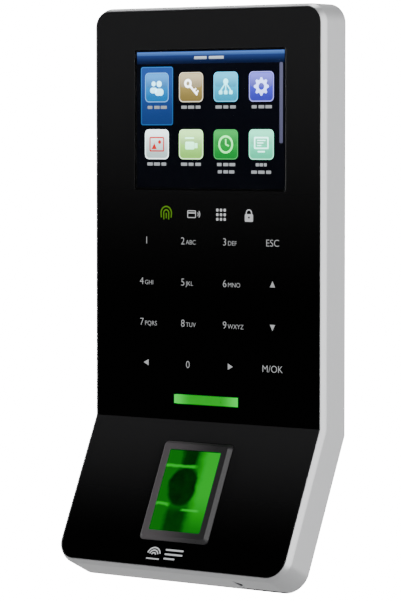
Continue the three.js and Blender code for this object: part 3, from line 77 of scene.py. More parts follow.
class Value:
    """A number socket of a node tree, so that maths on it is written as Python."""

    def __init__(self, graph: "Graph", socket: NodeSocket) -> None:
        """Keeps the socket and the graph that it belongs to."""
        self.graph = graph
        self.socket = socket

    def _math(self, operation: str, *terms: "Value | float") -> "Value":
        """The result of one Math node on these terms."""
        node = self.graph.node("ShaderNodeMath", {"operation": operation}, dict(enumerate(terms)))
        return Value(self.graph, node.outputs[0])

    def __add__(self, other: "Value | float") -> "Value":
        """self + other."""
        return self._math("ADD", self, other)

    __radd__ = __add__

    def __sub__(self, other: "Value | float") -> "Value":
        """self - other."""
        return self._math("SUBTRACT", self, other)

    def __rsub__(self, other: float) -> "Value":
        """other - self."""
        return self._math("SUBTRACT", other, self)

    def __mul__(self, other: "Value | float") -> "Value":
        """self * other."""
        return self._math("MULTIPLY", self, other)

    __rmul__ = __mul__

    def __truediv__(self, other: "Value | float") -> "Value":
        """self / other."""
        return self._math("DIVIDE", self, other)

    def __pow__(self, power: float) -> "Value":
        """self ** power."""
        return self._math("POWER", self, power)

    def __abs__(self) -> "Value":
        """abs(self)."""
        return self._math("ABSOLUTE", self)

    def most(self, other: "Value | float") -> "Value":
        """The larger of the two."""
        return self._math("MAXIMUM", self, other)

    def ramp(self, low: float, high: float, top: float = 1.0) -> "Value":
        """Smooth step.

        Args:
            low: The value that gives 0.
            high: The value that gives the top; it may be the smaller one.
            top: What the step climbs to.

        Returns:
            A value from 0 to the top.
        """
        settings = {"interpolation_type": "SMOOTHSTEP"}
        node = self.graph.node("ShaderNodeMapRange", settings, {0: self, 1: low, 2: high, 4: top})
        return Value(self.graph, node.outputs[0])


class Graph:
    """The node tree of a material or of the world."""

    def __init__(self, tree: NodeTree) -> None:
        """Keeps the tree."""
        self.tree = tree

    def feed(self, socket: NodeSocket, value: object) -> None:
        """Sets or links one input.

        Args:
            socket: The input.
            value: A Value, a socket to link, or what the input holds by itself.
        """
        if isinstance(value, Value):
            value = value.socket
        if isinstance(value, NodeSocket):
            self.tree.links.new(value, socket)
        else:
            socket.default_value = value

    def node(self, kind: str, settings: dict | None = None, inputs: dict | None = None) -> Node:
        """Makes any node.

        Args:
            kind: The node's type name.
            settings: Its properties, set first.
            inputs: Values or links for its sockets, by name or number.

        Returns:
            The node.
        """
        made = self.tree.nodes.new(kind)
        for key, value in (settings or {}).items():
            setattr(made, key, value)
        for key, value in (inputs or {}).items():
            self.feed(made.inputs[key], value)
        return made

    def shade(self, **inputs: object) -> None:
        """Feeds the Principled shader: an underscore in a key stands for a space."""
        for key, value in inputs.items():
            self.feed(self.tree.nodes["Principled BSDF"].inputs[key.replace("_", " ")], value)

    def place(self) -> NodeSocket:
        """The surface point in the object's own measures, which are the frame's at rest."""
        return self.node("ShaderNodeTexCoord").outputs["Object"]

    def share(self) -> NodeSocket:
        """The surface point as a share of the piece's own box, from 0 to 1."""
        return self.node("ShaderNodeTexCoord").outputs["Generated"]

    def axis(self, vector: NodeSocket, letter: str) -> Value:
        """One coordinate of a vector."""
        return Value(self, self.node("ShaderNodeSeparateXYZ", inputs={0: vector}).outputs[letter])

    def dot(self, vector: NodeSocket, way: Vector) -> Value:
        """How far a vector reaches along a unit direction."""
        node = self.node("ShaderNodeVectorMath", {"operation": "DOT_PRODUCT"}, {0: vector, 1: way})
        return Value(self, node.outputs["Value"])

    def along(self, start: Vector, way: Vector) -> Value:
        """Distance in metres from a start along a unit direction."""
        gap = self.node("ShaderNodeVectorMath", {"operation": "SUBTRACT"}, {0: self.place(), 1: start})
        return self.dot(gap.outputs[0], way)

    def stretched(self, scale: Colour) -> NodeSocket:
        """The surface point with each axis scaled, for grain that runs one way."""
        node = self.node("ShaderNodeVectorMath", {"operation": "MULTIPLY"}, {0: self.place(), 1: scale})
        return node.outputs[0]

    def noise(self, scale: float, detail: float = 2.0, at: NodeSocket | None = None) -> Value:
        """Soft random variation round 0.5, scale waves to a metre, read at a place or at the surface point."""
        inputs = {"Vector": at or self.place(), "Scale": scale, "Detail": detail}
        return Value(self, self.node("ShaderNodeTexNoise", inputs=inputs).outputs[0])

    def cells(self, scale: float) -> Value:
        """Distance pattern of random cells, scale to a metre."""
        inputs = {"Vector": self.place(), "Scale": scale}
        return Value(self, self.node("ShaderNodeTexVoronoi", inputs=inputs).outputs[0])

    def mix(self, share: Value, first: object, second: object) -> NodeSocket:
        """Blends two colours.

        Args:
            share: 0 for the first and 1 for the second.
            first: A colour or a colour socket.
            second: A colour or a colour socket.

        Returns:
            The blended colour.
        """
        node = self.node("ShaderNodeMix", {"data_type": "RGBA"})
        ends = [(*end, 1.0) if isinstance(end, tuple) else end for end in (first, second)]
        for number, value in zip((0, 6, 7), (share, *ends)):
            self.feed(node.inputs[number], value)
        return node.outputs[2]

    def bump(self, height: Value, depth: float) -> NodeSocket:
        """A surface normal from a height of 0 to 1, where 1 stands for the depth in metres."""
        return self.node("ShaderNodeBump", inputs={"Distance": depth, "Height": height}).outputs[0]


def shade_of(colour: Colour, factor: float) -> Colour:
    """A darker or lighter version of a colour."""
    return tuple(part * factor for part in colour)


def pale(colour: Colour, light: float) -> Colour:
    """A colour with white light added to it."""
    return tuple(part + light for part in colour)


# ------------------------------ finishes


@dataclass(frozen=True)
class Finish:
    """A finish of one name, which each kind paints in its own way."""

    name: str

    def paint(self, graph: Graph) -> None:
        """Left to each kind: adds its nodes to the graph."""
        raise NotImplementedError

    def material(self) -> Material:
        """Builds the material.

        Returns:
            A new material with the finish's nodes.
        """
        made = bpy.data.materials.new(self.name)
        made.use_nodes = True
        self.paint(Graph(made.node_tree))
        return made


@dataclass(frozen=True)
class Moulded(Finish):
    """Moulded plastic or rubber: a fine cast texture, with slight mottling in its colour and polish."""

    colour: Colour
    roughness: float = 0.5
    grain: float = 2600.0
    depth: float = 0.03 * MM
    mottle: float = 0.12

    def paint(self, graph: Graph) -> None:
        """Adds the finish's nodes.

        Args:
            graph: The material's node tree.
        """
        grain = graph.noise(self.grain, 3.0)
        cloud = graph.noise(70.0)
        dark, light = shade_of(self.colour, 1 - self.mottle), shade_of(self.colour, 1 + self.mottle)
        graph.shade(
            Base_Color=graph.mix(cloud * 0.6 + grain * 0.4, dark, light),
            Roughness=self.roughness - 0.08 + cloud * 0.1 + grain * 0.06,
            Normal=graph.bump(grain, self.depth),
        )


@dataclass(frozen=True)
class SideLitGrey(Finish):
    """Grey moulding round the finger window, with painted light and shade: paler on its lit left than on its shaded
    right.
    """

    half: float
    # Painted light on the left side and painted shade on the right side.
    left: Colour = (0.135, 0.122, 0.13)
    right: Colour = (0.026, 0.025, 0.027)

    def paint(self, graph: Graph) -> None:
        """Adds the finish's nodes.

        Args:
            graph: The material's node tree.
        """
        grain = graph.noise(1900.0, 3.0)
        across = graph.axis(graph.place(), "X") / self.half
        # Painted light and shade: the colour runs from the pale left to the dark right.
        graph.shade(
            Base_Color=graph.mix(across.ramp(-0.85, 0.8) + (grain - 0.5) * 0.2, self.left, self.right),
            Roughness=0.38 + grain * 0.14,
            Normal=graph.bump(grain, 0.012 * MM),
        )


@dataclass(frozen=True)
class SatinSilver(Finish):
    """Satin silver lacquer: metal flake under a thin clear coat, a little duller where hands touch it."""

    colour: Colour = (0.60, 0.605, 0.615)
    roughness: float = 0.32

    def paint(self, graph: Graph) -> None:
        """Adds the finish's nodes.

        Args:
            graph: The material's node tree.
        """
        flake = graph.cells(9000.0)
        cloud = graph.noise(45.0, 3.0)
        tone = graph.mix(flake.ramp(0.1, 0.8), shade_of(self.colour, 1.07), shade_of(self.colour, 0.93))
        graph.shade(
            Base_Color=graph.mix(cloud.ramp(0.3, 0.8) * 0.35, tone, shade_of(self.colour, 0.94)),
            Metallic=0.72,
            Roughness=self.roughness + cloud * 0.08 + flake * 0.05,
            Normal=graph.bump(flake, 0.006 * MM),
            Coat_Weight=0.25,
            Coat_Roughness=0.28,
        )


@dataclass(frozen=True)
class PolishedPanel(Finish):
    """Clear panel printed black from behind, with a painted reflection: its colour is paler towards the top of each
    half.
    """

    form: "FoldedForm"
    ink: Colour = (0.0001, 0.0001, 0.0001)
    # The colour of the painted reflection at the top of each half.
    painted_reflection: Colour = (0.028, 0.028, 0.029)

    def paint(self, graph: Graph) -> None:
        """Adds the finish's nodes.

        Args:
            graph: The material's node tree.
        """
        form = self.form
        # Painted reflection: the base colour runs from the black ink to the paler reflection colour towards the top
        # of each half.
        height = graph.axis(graph.place(), "Z") - form.fold_z
        upper = height.ramp(0.03, form.top) * height.ramp(-0.0001, 0.0001)
        lower = height.ramp(-0.033, 0.001) * height.ramp(0.0001, -0.0001)
        smear = graph.noise(38.0, 4.0)
        dust = graph.noise(1500.0, 1.0).ramp(0.68, 0.8)
        graph.shade(
            Base_Color=graph.mix(upper.most(lower), self.ink, self.painted_reflection),
            Roughness=0.07 + smear.ramp(0.45, 0.75) * 0.05 + dust * 0.1,
            Specular_IOR_Level=0.32,
            Normal=graph.bump(graph.noise(9.0), 0.02 * MM),
        )


@dataclass(frozen=True)
class ClearWindow(Finish):
    """Clear glossy plastic or glass, with the faintest unevenness."""

    tint: Colour = (0.96, 0.98, 0.98)
    roughness: float = 0.01

    def paint(self, graph: Graph) -> None:
        """Adds the finish's nodes.

        Args:
            graph: The material's node tree.
        """
        smear = graph.noise(40.0, 3.0)
        graph.shade(
            Base_Color=(*self.tint, 1.0),
            Transmission_Weight=1.0,
            IOR=1.12,
            Roughness=self.roughness + smear.ramp(0.5, 0.8) * 0.015,
        )


@dataclass(frozen=True)
class Lit(Finish):
    """A surface that shines by itself: brighter towards its top, as a gloss drawn on a picture is."""

    colour: Colour
    strength: float = 1.0
    fall: float = 0.45

    def paint(self, graph: Graph) -> None:
        """Adds the finish's nodes.

        Args:
            graph: The material's node tree.
        """
        height = graph.axis(graph.share(), "Z")
        grain = graph.noise(5200.0, 1.0) * 0.1
        low, high = shade_of(self.colour, 1 - self.fall), shade_of(self.colour, 1 + 0.3 * self.fall)
        graph.shade(
            Base_Color=(*shade_of(self.colour, 0.1), 1.0),
            Roughness=0.3 + grain,
            Specular_IOR_Level=0.1,
            Emission_Color=graph.mix(height.ramp(0.0, 1.0) + grain, low, high),
            Emission_Strength=self.strength,
        )


@dataclass(frozen=True)
class LightBar(Finish):
    """Green light guide with a lamp behind each end, so its ends are the palest."""

    half: float
    middle: Colour = (0.0, 0.42, 0.010)
    end: Colour = (0.0, 1.05, 0.06)

    def paint(self, graph: Graph) -> None:
        """Adds the finish's nodes.

        Args:
            graph: The material's node tree.
        """
        out = abs(graph.axis(graph.place(), "X")) / self.half
        grain = graph.noise(900.0)
        graph.shade(
            Base_Color=(0.002, 0.05, 0.003, 1.0),
            Roughness=0.25 + grain * 0.1,
            Emission_Color=graph.mix(out.ramp(0.45, 1.05) + grain * 0.12, self.middle, self.end),
            Emission_Strength=1.0,
        )


@dataclass(frozen=True)
class FingerGlow(Finish):
    """The lit finger window: green light from behind, with the dim shape of what lies under the glass."""

    form: "FoldedForm"
    top: float
    half: float
    height: float
    bright: Colour = (0.0, 0.16, 0.006)
    glare: Colour = (0.0, 0.50, 0.02)
    dim: Colour = (0.0, 0.012, 0.0004)
    streak: Colour = (0.0, 0.85, 0.04)

    def paint(self, graph: Graph) -> None:
        """Adds the finish's nodes.

        Args:
            graph: The material's node tree.
        """
        form = self.form
        across = graph.axis(graph.place(), "X") / self.half
        down = graph.along(form.place(0.0, -self.top, 0.0), form.down) / self.height
        wobble = graph.noise(260.0, 3.0)
        aside = across + 0.12 + (wobble - 0.5) * 0.3
        side = abs(aside)
        belly = (side / 0.55) ** 2.0 + (abs(down - 0.45) / 0.25) ** 2.0
        neck = side.ramp(0.38, 0.2) * down.ramp(0.34, 0.16)
        foot = side.ramp(0.5, 0.26) * down.ramp(0.62, 0.78)
        shape = belly.ramp(1.25, 0.7).most(neck).most(foot * 0.85)
        upper = abs(down - 0.2 + (wobble - 0.5) * 0.05).ramp(0.03, 0.006) * aside.ramp(0.45, 0.2)
        left = abs(down - 0.67 + (wobble - 0.5) * 0.08).ramp(0.03, 0.006) * aside.ramp(-0.3, -0.5)
        right = abs(down - 0.73).ramp(0.022, 0.006) * aside.ramp(0.1, 0.25) * aside.ramp(0.9, 0.7)
        lines = upper.most(left).most(right)
        lit = graph.mix(aside.ramp(0.3, 0.75) * down.ramp(1.1, 0.5), self.bright, self.glare)
        base = graph.mix(shape * (0.75 + wobble * 0.4), lit, self.dim)
        graph.shade(
            Base_Color=(0.0005, 0.01, 0.0006, 1.0),
            Roughness=0.09 + wobble * 0.08,
            Emission_Color=graph.mix(lines * 0.55, base, self.streak),
            Emission_Strength=1.0,
        )


@dataclass(frozen=True)
class Sheet(Finish):
    """Plated sheet metal: rolled grain one way, and the cloudy cells of the plating."""

    colour: Colour
    roughness: float = 0.4
    cell: float = 420.0
    grain: Colour = (300.0, 300.0, 6000.0)

    def paint(self, graph: Graph) -> None:
        """Adds the finish's nodes.

        Args:
            graph: The material's node tree.
        """
        spangle = graph.cells(self.cell)
        rolled = graph.noise(1.0, 3.0, graph.stretched(self.grain))
        dark, light = shade_of(self.colour, 0.82), shade_of(self.colour, 1.12)
        graph.shade(
            Base_Color=graph.mix(spangle.ramp(0.0, 0.7) * 0.6 + rolled * 0.4, light, dark),
            Metallic=1.0,
            Roughness=self.roughness - 0.06 + rolled * 0.14 + spangle * 0.06,
            Normal=graph.bump(rolled, 0.008 * MM),
        )


@dataclass(frozen=True)
class Laminate(Finish):
    """Circuit board: lacquered copper tracks under the solder mask."""

    mask: Colour = (0.006, 0.07, 0.022)
    track: Colour = (0.015, 0.16, 0.05)

    def paint(self, graph: Graph) -> None:
        """Adds the finish's nodes.

        Args:
            graph: The material's node tree.
        """
        rows = graph.node(
            "ShaderNodeTexBrick",
            {"offset": 0.37, "squash": 0.7},
            {"Vector": graph.place(), "Scale": 260.0, "Mortar Size": 0.16, "Mortar Smooth": 0.2},
        )
        lines = Value(graph, rows.outputs["Fac"])
        cloud = graph.noise(300.0, 2.0)
        tracks = lines * cloud.ramp(0.42, 0.5)
        graph.shade(
            Base_Color=graph.mix(tracks, self.mask, self.track),
            Roughness=0.38 + cloud * 0.12,
            Normal=graph.bump(tracks, 0.03 * MM),
        )


@dataclass(frozen=True)
class Film(Finish):
    """Flexible printed cable: amber film over parallel copper tracks."""

    film: Colour = (0.42, 0.17, 0.03)
    track: Colour = (0.62, 0.32, 0.10)

    def paint(self, graph: Graph) -> None:
        """Adds the finish's nodes.

        Args:
            graph: The material's node tree.
        """
        inputs = {"Vector": graph.place(), "Scale": 260.0}
        waves = graph.node("ShaderNodeTexWave", {"bands_direction": "X"}, inputs)
        stripe = Value(graph, waves.outputs["Fac"]).ramp(0.35, 0.65)
        graph.shade(
            Base_Color=graph.mix(stripe, self.film, self.track),
            Roughness=0.35 + graph.noise(200.0) * 0.1,
            Normal=graph.bump(stripe, 0.02 * MM),
        )


# ------------------------------ the folded form


@dataclass(frozen=True)
class FoldedForm:
    """The bent slab that every casing piece follows, with the places on it worked out from the frame."""

    front_y: float
    fold_z: float
    half: float
    top: float
    bottom: float
    depth: float
    tilt: float = math.radians(25.3)
    top_radius: float = 5.3 * MM
    bottom_radius: float = 6.2 * MM
    corner_steps: int = 14

    @classmethod
    def from_frame(cls, lens_height: float, slope_length: float, depth: float) -> "FoldedForm":
        """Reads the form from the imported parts.

        Args:
            lens_height: From the fold to the top edge of the front panel.
            slope_length: From the fold down the slope to the front panel's bottom edge.
            depth: The casing's depth.

        Returns:
            The form.
        """
        panel_low, panel_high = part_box("front_lens")
        ring_low, ring_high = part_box("frame")
        rim = ring_high[2] - panel_high[2]
        return cls(
            front_y=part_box("display_window")[0][1],
            fold_z=panel_high[2] - lens_height,
            half=(ring_high[0] - ring_low[0]) / 2,
            top=lens_height + rim,
            bottom=slope_length + rim,
            depth=depth,
        )

    @property
    def down(self) -> Vector:
        """The direction down the slope of the lower half."""
        return Vector((0.0, -math.sin(self.tilt), -math.cos(self.tilt)))

    def place(self, x: float, u: float, d: float) -> Vector:
        """Turns flat measures into a point.

        Args:
            x: Across, to the right.
            u: Height above the fold, negative down the slope.
            d: Depth behind the front face.

        Returns:
            The point in the frame.
        """
        if abs(u) < 1e-9:
            y, z = d, -d * math.tan(self.tilt / 2)
        elif u > 0:
            y, z = d, u
        else:
            turn = Matrix.Rotation(-self.tilt, 3, "X") @ Vector((x, d, u))
            y, z = turn.y, turn.z
        return Vector((x, self.front_y + y, self.fold_z + z))

    def outline(self, inset: float) -> Loop:
        """The casing's outline, set in.

        Args:
            inset: How far it is set in.

        Returns:
            Its flat points, from the fold's right end up and round.
        """
        half = self.half - inset
        points: Loop = [(half, 0.0)]
        ends = [(1, self.top, self.top_radius), (-1, self.bottom, self.bottom_radius)]
        for side, end, corner in ends:
            radius = max(corner - inset, 0.4 * MM)
            for hand in (side, -side):
                for step in range(self.corner_steps + 1):
                    turn = step / self.corner_steps * math.pi / 2
                    if hand != side:
                        turn = math.pi / 2 - turn
                    x = hand * (half - radius + radius * math.cos(turn))
                    u = side * (end - inset - radius + radius * math.sin(turn))
                    points.append((x, u))
            if side > 0:
                points.append((-half, 0.0))
        return points


# ------------------------------ flat shapes


def rectangle(x: float, u: float, width: float, height: float, radius: float = 0.0, steps: int = 6) -> Loop:
    """A rectangle, anticlockwise.

    Args:
        x: Its middle, across.
        u: Its middle, up.
        width: Its width.
        height: Its height.
        radius: Its corners' radius, or 0 for sharp ones.
        steps: Steps round each corner.

    Returns:
        Its edge.
    """
    if radius <= 0:
        half, rise = width / 2, height / 2
        return [(x - half, u - rise), (x + half, u - rise), (x + half, u + rise), (x - half, u + rise)]
    points: Loop = []
    for number, (sx, su) in enumerate(((1, -1), (1, 1), (-1, 1), (-1, -1))):
        for step in range(steps + 1):
            turn = (number - 1 + step / steps) * math.pi / 2
            cx, cu = x + sx * (width / 2 - radius), u + su * (height / 2 - radius)
            points.append((cx + radius * math.cos(turn), cu + radius * math.sin(turn)))
    return points


def disc(x: float, u: float, radius: float, steps: int = 28) -> Loop:
    """A disc's edge."""
    turns = (2 * math.pi * step / steps for step in range(steps))
    return [(x + radius * math.cos(turn), u + radius * math.sin(turn)) for turn in turns]


def arc(x: float, u: float, radius: float, width: float, start: float, end: float, steps: int = 18) -> Loop:
    """A band that follows part of a circle.

    Args:
        x: The circle's centre, across.
        u: The circle's centre, up.
        radius: The radius of the band's middle line.
        width: The band's width.
        start: The angle where it starts, in degrees.
        end: The angle where it ends, in degrees.
        steps: Steps along it.

    Returns:
        Its edge.
    """
    turns = [math.radians(start + (end - start) * step / steps) for step in range(steps + 1)]
    radii = (radius + width / 2, radius - width / 2)
    outer, inner = ([(x + reach * math.cos(t), u + reach * math.sin(t)) for t in turns] for reach in radii)
    return outer + inner[::-1]


def stroke(start: Flat, end: Flat, width: float) -> Loop:
    """A straight bar.

    Args:
        start: The middle of its first end.
        end: The middle of its other end.
        width: Its width.

    Returns:
        Its edge.
    """
    along = Vector(end) - Vector(start)
    aside = Vector((-along.y, along.x)).normalized() * width / 2
    corners = (Vector(start) - aside, Vector(end) - aside, Vector(end) + aside, Vector(start) + aside)
    return [(corner.x, corner.y) for corner in corners]


def gear(radius: float, teeth: int = 8, root: float = 0.76) -> Loop:
    """A toothed wheel about the origin.

    Args:
        radius: The radius at the teeth's tips.
        teeth: How many teeth it has.
        root: The share of the radius that lies between teeth.

    Returns:
        Its edge.
    """
    points: Loop = []
    for step in range(teeth * 4):
        turn = 2 * math.pi * (step - 0.5) / (teeth * 4)
        reach = radius if step % 4 < 2 else radius * root
        points.append((reach * math.cos(turn), reach * math.sin(turn)))
    return points


def fill(loops: Sequence[Loop]) -> list[Sequence[int]]:
    """The triangles that fill a shape, given as its edge and then its holes."""
    return tessellate_polygon([[Vector((x, u, 0.0)) for x, u in loop] for loop in loops])


def band(here: int, there: int, count: int, closed: bool = True) -> list[Sequence[int]]:
    """Faces between two rows of so many points, given by their first points' numbers."""
    pairs = [(step, (step + 1) % count) for step in range(count if closed else count - 1)]
    return [(here + a, here + b, there + b, there + a) for a, b in pairs]


@dataclass
class Stencil:
    """Flat shapes, each an edge with the holes in it, that are cut from one thin sheet."""

    shapes: list[list[Loop]]

    def moved(self, x: float, u: float, scale: float) -> "Stencil":
        """A copy, scaled about the origin and then moved."""
        shapes = [[[(x + a * scale, u + b * scale) for a, b in loop] for loop in shape] for shape in self.shapes]
        return Stencil(shapes)

    def cut(self, name: str, form: FoldedForm, depth: float, thickness: float) -> Object:
        """Makes the sheet's pieces on the casing.

        Args:
            name: The piece's name.
            form: The casing that the flat measures belong to.
            depth: Depth of the sheet's front face behind the casing's front.
            thickness: The sheet's thickness.

        Returns:
            One object with all of the shapes.
        """
        vertices: list[Vector] = []
        faces: list[Sequence[int]] = []
        for shape in self.shapes:
            flat = [point for loop in shape for point in loop]
            start, count = len(vertices), len(flat)
            for d in (depth, depth + thickness):
                vertices += [form.place(x, u, d) for x, u in flat]
            for a, b, c in fill(shape):
                faces.append((start + a, start + b, start + c))
                faces.append((start + count + c, start + count + b, start + count + a))
            for loop in shape:
                faces += band(start, start + count, len(loop))
                start += len(loop)
        return mesh_object(name, vertices, faces)


# ------------------------------ meshes


def linked(name: str, data: bpy.types.ID) -> Object:
    """A new object of the scene that holds the data.

    Args:
        name: The object's name.
        data: Its mesh, curve, camera or light.

    Returns:
        The object.
    """
    made = bpy.data.objects.new(name, data)
    bpy.context.scene.collection.objects.link(made)
    return made


def baked(piece: Object) -> bpy.types.Mesh:
    """The mesh that an object's modifiers or type make of it."""
    bpy.context.view_layer.update()
    return bpy.data.meshes.new_from_object(piece.evaluated_get(bpy.context.evaluated_depsgraph_get()))


def mesh_object(name: str, vertices: Iterable[Vector], faces: Iterable[Sequence[int]]) -> Object:
    """Makes an object with clean outward faces.

    Args:
        name: The object's name.
        vertices: Its points.
        faces: Its faces, by point number.

    Returns:
        The object, linked to the scene.
    """
    mesh = bpy.data.meshes.new(name)
    mesh.from_pydata([tuple(v) for v in vertices], [], [tuple(f) for f in faces])
    work = bmesh.new()
    work.from_mesh(mesh)
    bmesh.ops.remove_doubles(work, verts=work.verts, dist=1e-7)
    bmesh.ops.recalc_face_normals(work, faces=work.faces)
    work.to_mesh(mesh)
    work.free()
    return linked(name, mesh)


def smooth(piece: Object, angle: float = 35.0) -> None:
    """Shades a piece smooth, and keeps its flats flat.

    Args:
        piece: The piece.
        angle: The sharpest edge that is shaded smooth, in degrees.
    """
    for polygon in piece.data.polygons:
        polygon.use_smooth = True
    piece.data.set_sharp_from_angle(angle=math.radians(angle))
    flats = piece.modifiers.new("flats", "WEIGHTED_NORMAL")
    flats.keep_sharp = True


def rounded(corners: Sequence[tuple[float, float, float]], steps: int = 5) -> Loop:
    """Rounds the corners of a closed section.

    Args:
        corners: Each corner's two measures and the length that its rounding takes off each side.
        steps: Points along each rounding.

    Returns:
        The section's points.
    """
    points: Loop = []
    for number, (a, b, cut) in enumerate(corners):
        here = Vector((a, b))
        if cut <= 0:
            points.append((a, b))
            continue
        before, after = (Vector(corners[(number + k) % len(corners)][:2]) for k in (-1, 1))
        start = here + (before - here).normalized() * cut
        end = here + (after - here).normalized() * cut
        for step in range(steps + 1):
            t = step / steps
            at = start * (1 - t) ** 2 + here * 2 * t * (1 - t) + end * t**2
            points.append((at.x, at.y))
    return points


def carved(piece: Object, cutters: Sequence[Object]) -> None:
    """Cuts each cutter out of a piece, and removes the cutters.

    Args:
        piece: The piece.
        cutters: The solids to cut out.
    """
    for cutter in cutters:
        cut = piece.modifiers.new("cut", "BOOLEAN")
        cut.object = cutter
        cut.solver = "EXACT"
    solid = baked(piece)
    piece.modifiers.clear()
    piece.data = solid
    for cutter in cutters:
        bpy.data.objects.remove(cutter)


def block(name: str, form: FoldedForm, low: Colour, high: Colour) -> Object:
    """A box on one half of the casing.

    Args:
        name: The object's name.
        form: The casing that the measures belong to.
        low: Its lowest x, u and d.
        high: Its highest x, u and d.

    Returns:
        The object.
    """
    corners = [(x, u, d) for x in (low[0], high[0]) for u in (low[1], high[1]) for d in (low[2], high[2])]
    faces = [(0, 1, 3, 2), (4, 6, 7, 5), (0, 4, 5, 1), (2, 3, 7, 6), (0, 2, 6, 4), (1, 5, 7, 3)]
    return mesh_object(name, [form.place(*corner) for corner in corners], faces)


def keep(piece: Object, finish: Finish, body: str = TERMINAL) -> Object:
    """Dresses a new piece, hangs it on a body and reports it.

    Args:
        piece: The piece.
        finish: The finish that makes its material.
        body: The body it moves with.

    Returns:
        The piece.
    """
    piece.data.materials.clear()
    piece.data.materials.append(finish.material())
    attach(piece, body)
    log.info("%s: %d points, rides on %s", piece.name, len(piece.data.vertices), body)
    return piece


# ------------------------------ casing


@dataclass(frozen=True)
class Opening:
    """A rectangular opening in the panel, about a middle point."""

    x: float
    u: float
    width: float
    height: float
    radius: float

    def grown(self, length: float) -> Loop:
        """The opening's edge, moved out by a length; sharp corners stay sharp."""
        corner = self.radius + length if self.radius else 0.0
        return rectangle(self.x, self.u, self.width + 2 * length, self.height + 2 * length, corner)


